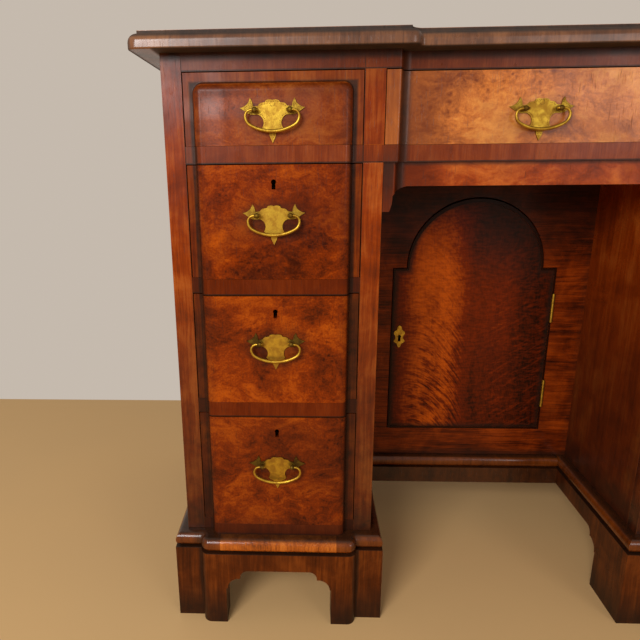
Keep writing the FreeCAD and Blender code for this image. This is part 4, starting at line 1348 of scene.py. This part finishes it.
class Workshop:
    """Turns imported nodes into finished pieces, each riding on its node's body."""

    def __init__(self) -> None:
        """Read which body and which slot each node has."""
        record = frame["record"]
        bodies = record["behaviour"]["bodies"]
        self.bodies = {node: body for body, members in bodies.items() for node in members}
        self.slots = {item["node"]: item["material_slot"] for item in record["subparts"]}
        self.made = 0

    def solids_of(self, node: str) -> bmesh.types.BMesh:
        """Return a welded copy of a node's solids, with flat stretches joined.

        Args:
            node: Name of the node.

        Returns:
            The copy, which the caller frees.
        """
        work = bmesh.new()
        self.made += 1
        SolidSorter(frame["nodes"][node].data).fill(work, NODE_SEED*self.made)
        bmesh.ops.dissolve_limit(work, angle_limit=FLAT_ANGLE, verts=work.verts, edges=work.edges)
        return work

    def piece(self, name: str, work: bmesh.types.BMesh) -> bpy.types.Object:
        """Return a new object from a mesh in work, which is then freed.

        Args:
            name: Name of the object.
            work: The mesh in work.

        Returns:
            The object.
        """
        mesh = bpy.data.meshes.new(name)
        work.to_mesh(mesh)
        work.free()
        made = bpy.data.objects.new(name, mesh)
        bpy.context.scene.collection.objects.link(made)
        return made

    def applied(self, made: bpy.types.Object) -> None:
        """Turn an object's modifiers into plain mesh.

        Args:
            made: The object.
        """
        depsgraph = bpy.context.evaluated_depsgraph_get()
        plain = bpy.data.meshes.new_from_object(made.evaluated_get(depsgraph))
        made.modifiers.clear()
        made.data = plain

    def smooth(self, made: bpy.types.Object) -> None:
        """Shade every face of a piece smooth."""
        for polygon in made.data.polygons:
            polygon.use_smooth = True

    def soften(self, made: bpy.types.Object, width: float, steps: int = 2) -> None:
        """Round the sharp edges of a piece and mark the rounded faces as worn.

        Args:
            made: The piece.
            width: Width of the rounding.
            steps: Faces across it.
        """
        made.data.materials.append(None)
        made.data.materials.append(None)
        bevel = made.modifiers.new("soft_edges", "BEVEL")
        bevel.width = width
        bevel.segments = steps
        bevel.limit_method = "ANGLE"
        bevel.angle_limit = SHARP_ANGLE
        bevel.material = 1
        bevel.use_clamp_overlap = True
        made.modifiers.new("flat_faces", "WEIGHTED_NORMAL").keep_sharp = True
        self.smooth(made)
        made.data.set_sharp_from_angle(angle=SMOOTH_ANGLE)
        self.applied(made)
        worn = made.data.attributes.new("edge", "FLOAT", "FACE")
        for polygon in made.data.polygons:
            worn.data[polygon.index].value = float(polygon.material_index == 1)
            polygon.material_index = 0
        made.data.materials.clear()

    def hand_in(self, made: bpy.types.Object, node: str, finish: bpy.types.Material,
                stands: bool = True) -> None:
        """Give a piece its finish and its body.

        Args:
            made: The piece.
            node: Node that it stands for, or goes with.
            finish: Its material.
            stands: Whether it takes the node's place.
        """
        made.data.materials.clear()
        made.data.materials.append(finish)
        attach(made, self.bodies[node])
        if stands:
            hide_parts(node)
        LOG.info("%s rides on %s, %d faces", made.name, self.bodies[node], len(made.data.polygons))


@dataclass
class Woodwork:
    """The boards, rails, mouldings and drawers of the desk.

    Attributes:
        soft: Width of the rounding on most edges.
        crisp: Width of the rounding on inner edges.
        rubbed: Width of the rounding on the feet.
        door: Width of the rounding on the door.
        spread: Growth of a block's half width in the base.
        step: Distance of the base from the stiles.
        apron: Growth of the recess's half width in the apron.
        pulls: Heights of the pulls of each row of drawers.
        finishes: The finishes, by name.
    """

    soft: float = 0.0007
    crisp: float = 0.0004
    rubbed: float = 0.0013
    door: float = 0.00091
    spread: float = 0.015
    step: float = 0.016
    apron: float = 0.0025
    pulls: tuple[float, ...] = (0.691, 0.5735, 0.4145, 0.2435)
    finishes: dict[str, bpy.types.Material] = field(default_factory=dict)

    def prepare(self) -> None:
        """Build the finishes."""
        base = {"half": PLAN.block + self.spread, "plane": PLAN.face - self.step}
        recipes = [
            CaseWood("stile_walnut", STILE_TONE, gloss=0.2, glint=0.22, mottle=0.4, spread=0.18),
            CaseWood("side_walnut", STILE_TONE, streaks=30.0, mottle=0.3, spread=0.24),
            TopWood("top_veneer", TOP_TONE, gloss=0.28, glint=0.55, mottle=0.3, matt=0.5),
            RecessRail("long_rail_banding", FRIEZE_RAIL_TONE, streaks=90.0, glint=0.22, mottle=0.5,
                       spread=0.28),
            BlockWood("rail_banding", RAIL_TONE, streaks=150.0, mottle=0.4, spread=0.3),
            ApronWood("apron_veneer", APRON_TONE, streaks=60.0, glint=0.2, half=PLAN.recess + self.apron,
                      mottle=0.5, grit=0.08),
            BurrWood("burr_front", BURR_TONE, gloss=0.22, pulls=self.pulls, halo=0.62),
            BurrWood("frieze_front", FRIEZE_TONE, gloss=0.27, glint=0.18, crown=PLAN.crown, black=0.009,
                     pulls=self.pulls[:1], halo=0.35, grit=0.16, cushion=7.0),
            RecessBurr("recess_front", CENTRE_TONE_WITH_SHEEN, gloss=0.2, glint=0.3, pulls=self.pulls[:1], halo=0.3,
                       grit=0.14),
            SurroundWood("cupboard_surround", CUPBOARD_TONE, Grain.LONG, streaks=60.0, spread=0.14),
            FlameWood("flame_door", DOOR_TONE, gloss=0.32, mottle=0.2),
            FootWood("foot_walnut", PLINTH_TONE, mottle=0.5, spread=0.2, **base),
            MouldWood("moulding_walnut", TORUS_TONE, streaks=130.0, gloss=0.11, glint=0.36, mottle=0.2, **base),
            Wood("lining_oak", OAK_TONE, Grain.DEEP, gloss=0.62, glint=0.25),
            Wood("back_oak", OAK_TONE, Grain.TALL, streaks=28.0, gloss=0.66, glint=0.25),
        ]
        self.finishes = {recipe.name: recipe.make() for recipe in recipes}

    def plan(self) -> dict[str, tuple[str, float]]:
        """Return the finish and the rounding of each node.

        Returns:
            Name of the finish and width of the rounding, by node, in the order of making.
        """
        nodes = {
            "top_board": ("top_veneer", self.soft),
            "outer_stiles": ("stile_walnut", self.crisp),
            "inner_stiles": ("stile_walnut", self.crisp),
            "top_rail": ("long_rail_banding", self.crisp),
            "frieze_rail": ("long_rail_banding", self.crisp),
            "left_drawer_rails": ("rail_banding", self.crisp),
            "right_drawer_rails": ("rail_banding", self.crisp),
            "kneehole_apron": ("apron_veneer", self.soft),
            "back_boards": ("back_oak", self.soft),
            "case_boards": ("lining_oak", self.crisp),
            "cupboard_shelf": ("lining_oak", self.soft),
            "drawer_runners": ("lining_oak", self.crisp),
            "base_mouldings": ("moulding_walnut", self.crisp),
            "left_bracket_base": ("foot_walnut", self.rubbed),
            "right_bracket_base": ("foot_walnut", self.rubbed),
            "cupboard_front": ("cupboard_surround", self.crisp),
            "cupboard_door": ("flame_door", self.door),
        }
        for side in ("left_outer", "left_inner", "right_inner", "right_outer"):
            nodes[f"{side}_side"] = ("side_walnut", self.crisp)
        for drawer in drawer_names():
            nodes[f"{drawer}_front"] = (self.front_finish(drawer), self.soft)
            nodes[f"{drawer}_box"] = ("lining_oak", self.crisp)
        return nodes

    def front_finish(self, drawer: str) -> str:
        """Return the name of a drawer front's finish.

        Args:
            drawer: Name of the drawer.

        Returns:
            The name of the finish.
        """
        if drawer.startswith("centre"):
            return "recess_front"
        return "frieze_front" if "frieze" in drawer else "burr_front"

    def build(self, shop: Workshop) -> None:
        """Make every wooden piece.

        Args:
            shop: Workshop that makes the pieces.
        """
        self.prepare()
        for node, (finish, rounding) in self.plan().items():
            made = shop.piece(f"{node}_wood", shop.solids_of(node))
            shop.soften(made, rounding)
            shop.hand_in(made, node, self.finishes[finish])


def drawer_names() -> list[str]:
    """Return the names of the nine drawers."""
    return [f"{side}_{row}_drawer" for side in ("left", "right") for row in ROWS] + ["centre_drawer"]


class PinTree:
    """A node tree that sets a small pin head on every point of a mesh.

    Attributes:
        segments: Faces round a head.
        rings: Faces from its crown to its foot.
    """

    segments: int = 10
    rings: int = 6

    def __init__(self, name: str, finish: bpy.types.Material) -> None:
        """Build the tree.

        Args:
            name: Name of the tree.
            finish: Material of the pins.
        """
        self.group = bpy.data.node_groups.new(name, "GeometryNodeTree")
        face = self.group.interface
        face.new_socket("Geometry", in_out="INPUT", socket_type="NodeSocketGeometry")
        self.radius, self.height = (
            face.new_socket(size, in_out="INPUT", socket_type="NodeSocketFloat").identifier
            for size in ("Head radius", "Head height"))
        face.new_socket("Geometry", in_out="OUTPUT", socket_type="NodeSocketGeometry")
        entry = self.node("NodeGroupInput")
        head = self.node("GeometryNodeMeshUVSphere")
        head.inputs["Segments"].default_value = self.segments
        head.inputs["Rings"].default_value = self.rings
        head.inputs["Radius"].default_value = 1.0
        size = self.node("ShaderNodeCombineXYZ")
        shaped = self.node("GeometryNodeTransform")
        facing = self.node("GeometryNodeInputNamedAttribute", data_type="FLOAT_VECTOR")
        facing.inputs["Name"].default_value = "facing"
        align = self.node("FunctionNodeAlignRotationToVector", axis="Z")
        copies = self.node("GeometryNodeInstanceOnPoints")
        real = self.node("GeometryNodeRealizeInstances")
        dressed = self.node("GeometryNodeSetMaterial")
        dressed.inputs["Material"].default_value = finish
        leave = self.node("NodeGroupOutput")
        for source, target in (
                (entry.outputs[1], size.inputs[0]), (entry.outputs[1], size.inputs[1]),
                (entry.outputs[2], size.inputs[2]), (head.outputs[0], shaped.inputs["Geometry"]),
                (size.outputs[0], shaped.inputs["Scale"]), (entry.outputs[0], copies.inputs["Points"]),
                (shaped.outputs[0], copies.inputs["Instance"]), (facing.outputs[0], align.inputs["Vector"]),
                (align.outputs[0], copies.inputs["Rotation"]), (copies.outputs[0], real.inputs[0]),
                (real.outputs[0], dressed.inputs["Geometry"]), (dressed.outputs[0], leave.inputs[0])):
            self.group.links.new(source, target)

    def node(self, kind: str, **settings: object) -> bpy.types.Node:
        """Add one node of the tree.

        Args:
            kind: Type of the node.
            **settings: Properties of the node.

        Returns:
            The node.
        """
        made = self.group.nodes.new(kind)
        for key, value in settings.items():
            setattr(made, key, value)
        return made

    def set_pins(self, shop: Workshop, name: str, spots: list[Vector], facing: list[Vector],
                 radius: float, height: float) -> bpy.types.Object:
        """Make the pins at some points as one plain mesh.

        Args:
            shop: Workshop that makes the object.
            name: Name of the piece.
            spots: Centres of the pins.
            facing: Way that each pin faces.
            radius: Radius of a head.
            height: Height of a head.

        Returns:
            The piece.
        """
        work = bmesh.new()
        ways = work.verts.layers.float_vector.new("facing")
        for spot, way in zip(spots, facing):
            work.verts.new(spot)[ways] = way
        made = shop.piece(name, work)
        modifier = made.modifiers.new("pins", "NODES")
        modifier.node_group = self.group
        modifier[self.radius] = radius
        modifier[self.height] = height
        shop.applied(made)
        shop.smooth(made)
        return made


@dataclass
class Brasswork:
    """The pulls, escutcheon, locks and hinges.

    Attributes:
        cast_edge: Width of the rounding on cast edges.
        dot_inset: Distance of the punched border from a plate's outline.
        dot_pitch: Distance between its dots.
        dot_tries: Places tried in each pitch.
        dot_clear: Share of the inset that a dot keeps from the outline.
        dot_apart: Share of the pitch that a dot keeps from the others.
        dot_radius: Radius of a dot.
        dot_height: Height of a dot.
        ring_radius: Radius of the ring of dots at a plate's middle.
        ring_lift: Height of the ring over the middle of the plate's outline.
        ring_dots: Number of its dots.
        punch_colour: Colour of the dots.
        screw_radius: Radius of a screw's head.
        screw_height: Height of a screw's head.
        screw_inset: Distance of a lock's screws from its edges.
        screw_pitch: Distance between a hinge's screws.
        lock_width: Width of a drawer's lock.
        lock_height: Its height.
        jamb_leaf: Face of the hinges' leaves in the jamb.
        door_leaf: Face of their leaves on the door.
        leaf_middle: Depth of the leaves' middle.
        hinge_heights: Heights of the hinges' middles.
        swell: Growth of a bail's wire at its lowest point.
        thin: Loss of its wire at its ends.
        finish: Finish of the castings.
        plated: Finish of the plates.
        punched: Finish of the dots.
        dots: Tree that sets the dots.
        screws: Tree that sets the screws.
    """

    cast_edge: float = 0.00045
    dot_inset: float = 0.0017
    dot_pitch: float = 0.0019
    dot_tries: int = 3
    dot_clear: float = 0.9
    dot_apart: float = 0.8
    dot_radius: float = 0.0005
    dot_height: float = 0.00012
    ring_radius: float = 0.0027
    ring_lift: float = 0.006
    ring_dots: int = 10
    punch_colour: Colour = (0.16, 0.08, 0.015)
    screw_radius: float = 0.0019
    screw_height: float = 0.0003
    screw_inset: float = 0.005
    screw_pitch: float = 0.015
    lock_width: float = 0.056
    lock_height: float = 0.04
    jamb_leaf: float = 0.1312
    door_leaf: float = 0.13
    leaf_middle: float = 0.0045
    hinge_heights: tuple[float, float] = (0.25, 0.4)
    swell: float = 0.00035
    thin: float = 0.00035
    finish: bpy.types.Material = field(init=False)
    plated: bpy.types.Material = field(init=False)
    punched: bpy.types.Material = field(init=False)
    dots: PinTree = field(init=False)
    screws: PinTree = field(init=False)

    def __post_init__(self) -> None:
        """Build the finishes and the trees."""
        self.finish = AgedBrass().make()
        self.plated = PlateBrass("plate_brass", rubbed=0.0).make()
        self.punched = AgedBrass("punched_brass", bright=self.punch_colour, dull=self.punch_colour).make()
        self.dots = PinTree("punched_dots", self.punched)
        self.screws = PinTree("screw_heads", self.finish)

    def build(self, shop: Workshop) -> None:
        """Make every brass piece.

        Args:
            shop: Workshop that makes the pieces.
        """
        for drawer in drawer_names():
            self.pull(shop, drawer)
            self.bail(shop, f"{drawer}_bail")
        for node in ("door_brasses", "hinge_jamb_leaves", "hinge_door_leaves"):
            made = shop.piece(f"{node}_cast", shop.solids_of(node))
            shop.soften(made, self.cast_edge)
            shop.hand_in(made, node, self.finish)
        self.hinge_screws(shop)

    def screw_down(self, shop: Workshop, name: str, node: str, spots: list[Vector], way: Triple) -> None:
        """Set screws in a piece of brass.

        Args:
            shop: Workshop that makes the screws.
            name: Name of the screws.
            node: Node of the brass.
            spots: Centres of the screws.
            way: Way that they face.
        """
        facing = [Vector(way)]*len(spots)
        heads = self.screws.set_pins(shop, name, spots, facing, self.screw_radius, self.screw_height)
        shop.hand_in(heads, node, self.finish, stands=False)

    def hinge_screws(self, shop: Workshop) -> None:
        """Set three screws in each leaf of the door's hinges.

        Args:
            shop: Workshop that makes the screws.
        """
        leaves = (("hinge_jamb_leaves", self.jamb_leaf, -1.0), ("hinge_door_leaves", self.door_leaf, 1.0))
        for node, leaf, way in leaves:
            spots = [Vector((leaf, self.leaf_middle, middle + step*self.screw_pitch))
                     for middle in self.hinge_heights for step in (-1, 0, 1)]
            self.screw_down(shop, f"{node}_screws", node, spots, (way, 0.0, 0.0))

    def lock_screws(self, shop: Workshop, drawer: str) -> None:
        """Set four screws in the back of a drawer's lock.

        Args:
            shop: Workshop that makes the screws.
            drawer: Name of the drawer.
        """
        low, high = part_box(f"{drawer}_front")
        middle, back = (low.x + high.x)/2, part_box(f"{drawer}_brasses")[1].y
        across, fall = self.lock_width/2 - self.screw_inset, self.lock_height - self.screw_inset
        spots = [Vector((middle + side*across, back, high.z - drop))
                 for side in (-1, 1) for drop in (self.screw_inset, fall)]
        self.screw_down(shop, f"{drawer}_lock_screws", f"{drawer}_brasses", spots, (0.0, 1.0, 0.0))

    def pull(self, shop: Workshop, drawer: str) -> None:
        """Make a drawer's plate, posts, nuts and lock, with the plate's punched border.

        Args:
            shop: Workshop that makes the pieces.
            drawer: Name of the drawer.
        """
        node = f"{drawer}_brasses"
        work = shop.solids_of(node)
        spots = self.border(work)
        made = shop.piece(f"{node}_cast", work)
        shop.soften(made, self.cast_edge)
        shop.hand_in(made, node, self.plated)
        facing = [Vector((0, -1, 0))]*len(spots)
        name = f"{drawer}_plate_dots"
        dots = self.dots.set_pins(shop, name, spots, facing, self.dot_radius, self.dot_height)
        shop.hand_in(dots, node, self.punched, stands=False)
        if "frieze" not in drawer and drawer != "centre_drawer":
            self.lock_screws(shop, drawer)

    def border(self, work: bmesh.types.BMesh) -> list[Vector]:
        """Return the dots of the border punched inside a plate's outline, and of the ring at its middle.

        Args:
            work: Solids of the drawer's brasses.

        Returns:
            Centres of the dots.
        """
        front = [face for face in work.faces if face.normal.y < FRONTAL]
        plate = max(front, key=lambda face: face.calc_area())
        level = plate.calc_center_median().y
        sheet = bmesh.new()
        for face in front:
            if abs(face.calc_center_median().y - level) < WELD:
                sheet.faces.new([sheet.verts.new(vertex.co) for vertex in face.verts])
        bmesh.ops.remove_doubles(sheet, verts=sheet.verts, dist=WELD)
        rim = [edge for edge in sheet.edges if edge.is_boundary]
        ends = [(edge.verts[0].co.copy(), edge.verts[1].co.copy()) for edge in rim]
        spots = []
        for spot in self.walk(rim):
            if all(self.gap(spot, start, end) > self.dot_inset*self.dot_clear for start, end in ends):
                if all((spot - other).length > self.dot_pitch*self.dot_apart for other in spots):
                    spots.append(spot)
        sheet.free()
        middle = plate.calc_center_bounds()
        for step in range(self.ring_dots):
            turn = math.tau*step/self.ring_dots
            spots.append(Vector((middle.x, level, middle.z + self.ring_lift))
                         + Vector((math.cos(turn), 0, math.sin(turn)))*self.ring_radius)
        return spots

    def walk(self, rim: list[bmesh.types.BMEdge]) -> list[Vector]:
        """Return points at even steps inside the rim of a plate.

        Args:
            rim: Edges of the rim.

        Returns:
            The points.
        """
        spots = []
        for edge in rim:
            start, end = (vertex.co for vertex in edge.verts)
            loop = edge.link_loops[0]
            ahead = (loop.link_loop_next.vert.co - loop.vert.co).normalized()
            inward = loop.face.normal.cross(ahead)
            steps = max(1, round((end - start).length/(self.dot_pitch/self.dot_tries)))
            spots += [start.lerp(end, (step + 0.5)/steps) + inward*self.dot_inset for step in range(steps)]
        return spots

    def gap(self, spot: Vector, start: Vector, end: Vector) -> float:
        """Return how far a point lies from a straight stretch.

        Args:
            spot: The point.
            start: Start of the stretch.
            end: End of the stretch.

        Returns:
            The distance.
        """
        run = end - start
        share = max(0.0, min(1.0, (spot - start).dot(run)/run.length_squared))
        return (spot - start - run*share).length

    def bail(self, shop: Workshop, node: str) -> None:
        """Make a bail, thick at its lowest point and thin at its ends.

        Args:
            shop: Workshop that makes the piece.
            node: Node of the bail.
        """
        work = shop.solids_of(node)
        work.normal_update()
        low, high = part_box(node)
        for vertex in work.verts:
            share = (high.z - vertex.co.z)/(high.z - low.z)
            vertex.co += vertex.normal*(share*(self.swell + self.thin) - self.thin)
        made = shop.piece(f"{node}_cast", work)
        shop.smooth(made)
        shop.hand_in(made, node, self.finish)


@dataclass(frozen=True)
class Studio:
    """The floor, the light and the camera.

    Attributes:
        floor: Colour of the floor.
        scuffed: Colour of its scuffs.
        scuffs: How far these show.
        reach: Distance of the floor's edges from the middle, apart from the back one.
        sky: Colour of the surrounding light.
        strength: Strength of the surrounding light.
        backdrop: Colour of the surroundings as they are seen.
        rear: Place of the floor's back edge.
        key: Place, size and power of the soft light at the upper left.
        fill: The same of the one at the right.
        aim: Point that they face.
        eye: Place of the camera.
        yaw: Turn of the camera to the right.
        pitch: Tilt of the camera down.
        roll: Roll of the camera.
        lens: Focal length, in millimetres.
        sensor: Width of the sensor, in millimetres.
        nearest: Distance from which the camera sees.
        shift: Sideways shift of the lens.
    """

    floor: Colour = (0.77, 0.475, 0.2)
    scuffed: Colour = (0.45, 0.32, 0.2)
    scuffs: float = 0.06
    reach: float = 6.0
    sky: Colour = (1.0, 0.95, 0.88)
    strength: float = 0.32
    backdrop: Colour = (0.56, 0.49, 0.42)
    rear: float = 0.53
    key: tuple[Triple, float, float] = ((-1.22, -2.25, 1.42), 1.0, 44.0)
    fill: tuple[Triple, float, float] = ((1.3, -2.4, 1.1), 0.9, 9.0)
    aim: Triple = (-0.15, -0.2, 0.45)
    eye: Triple = (-0.2719, -0.924, 0.6303)
    yaw: float = -0.0441
    pitch: float = 0.2665
    roll: float = 0.0105
    lens: float = 31.84
    sensor: float = 36.0
    nearest: float = 0.02
    shift: float = 0.0584

    def build(self) -> None:
        """Set up the stage."""
        self.lay_floor()
        self.light()
        self.set_camera()
        bpy.context.scene.view_settings.view_transform = "Standard"

    def lay_floor(self) -> None:
        """Make a plain pale floor."""
        work = bmesh.new()
        reach, rear = self.reach, self.rear
        corners = ((-reach, -reach), (reach, -reach), (reach, rear), (-reach, rear))
        work.faces.new([work.verts.new((x, y, 0.0)) for x, y in corners])
        mesh = bpy.data.meshes.new("floor")
        work.to_mesh(mesh)
        work.free()
        floor = bpy.data.objects.new("floor", mesh)
        bpy.context.scene.collection.objects.link(floor)
        n = FinishNodes()
        scuffs = n.levels(n.cloud(n.where, 3.0, 3.0, seed=ALIKE), 0.3, 0.7, 0.0, self.scuffs)
        ground = n.blend(scuffs, self.floor, self.scuffed)
        mesh.materials.append(n.surface("floor_paint", {"Base Color": ground, "Roughness": 0.7}))

    def light(self) -> None:
        """Light the desk softly from the front and from the upper left."""
        world = bpy.data.worlds.new("soft_light")
        bpy.context.scene.world = world
        world.use_nodes = True
        tree = world.node_tree
        sky = tree.nodes["Background"]
        sky.inputs["Color"].default_value = (*self.sky, 1.0)
        sky.inputs["Strength"].default_value = self.strength
        shown = tree.nodes.new("ShaderNodeBackground")
        shown.inputs["Color"].default_value = (*self.backdrop, 1.0)
        path = tree.nodes.new("ShaderNodeLightPath")
        mirrored, seen = (tree.nodes.new("ShaderNodeMath") for _ in range(2))
        mirrored.operation = seen.operation = "MAXIMUM"
        mix = tree.nodes.new("ShaderNodeMixShader")
        for source, target in (
                (path.outputs["Is Glossy Ray"], mirrored.inputs[0]),
                (path.outputs["Is Transmission Ray"], mirrored.inputs[1]),
                (path.outputs["Is Camera Ray"], seen.inputs[0]), (mirrored.outputs[0], seen.inputs[1]),
                (seen.outputs[0], mix.inputs[0]), (sky.outputs[0], mix.inputs[1]),
                (shown.outputs[0], mix.inputs[2]), (mix.outputs[0], tree.nodes["World Output"].inputs[0])):
            tree.links.new(source, target)
        self.panel("key", *self.key)
        self.panel("fill", *self.fill)

    def panel(self, name: str, place: Triple, size: float, power: float) -> None:
        """Hang a square soft light that faces the middle of the desk.

        Args:
            name: Name of the light.
            place: Its place.
            size: Its width.
            power: Its power, in watts.
        """
        lamp = bpy.data.lights.new(name, "AREA")
        lamp.size = size
        lamp.energy = power
        hung = bpy.data.objects.new(name, lamp)
        hung.location = place
        aim = Vector(self.aim) - Vector(place)
        hung.rotation_euler = aim.to_track_quat("-Z", "Y").to_euler()
        bpy.context.scene.collection.objects.link(hung)

    def set_camera(self) -> None:
        """Place the camera at the photograph's viewing angle."""
        level = math.cos(self.pitch)
        ahead = Vector((math.sin(self.yaw)*level, math.cos(self.yaw)*level, -math.sin(self.pitch)))
        right = Vector((math.cos(self.yaw), -math.sin(self.yaw), 0))
        up = right.cross(ahead)
        tilted_right = right*math.cos(self.roll) - up*math.sin(self.roll)
        tilted_up = right*math.sin(self.roll) + up*math.cos(self.roll)
        camera = bpy.data.cameras.new("camera")
        camera.lens = self.lens
        camera.sensor_width = self.sensor
        camera.shift_x = self.shift
        camera.clip_start = self.nearest
        held = bpy.data.objects.new("camera", camera)
        turn = Matrix((tilted_right, tilted_up, -ahead)).transposed().to_4x4()
        held.matrix_world = Matrix.Translation(self.eye) @ turn
        bpy.context.scene.collection.objects.link(held)
        bpy.context.scene.camera = held


def main() -> None:
    """Dress the desk and set the stage."""
    logging.basicConfig(level=logging.INFO, format="%(name)s: %(message)s")
    shop = Workshop()
    Woodwork().build(shop)
    Brasswork().build(shop)
    Studio().build()


if __name__ == "__main__":
    main()
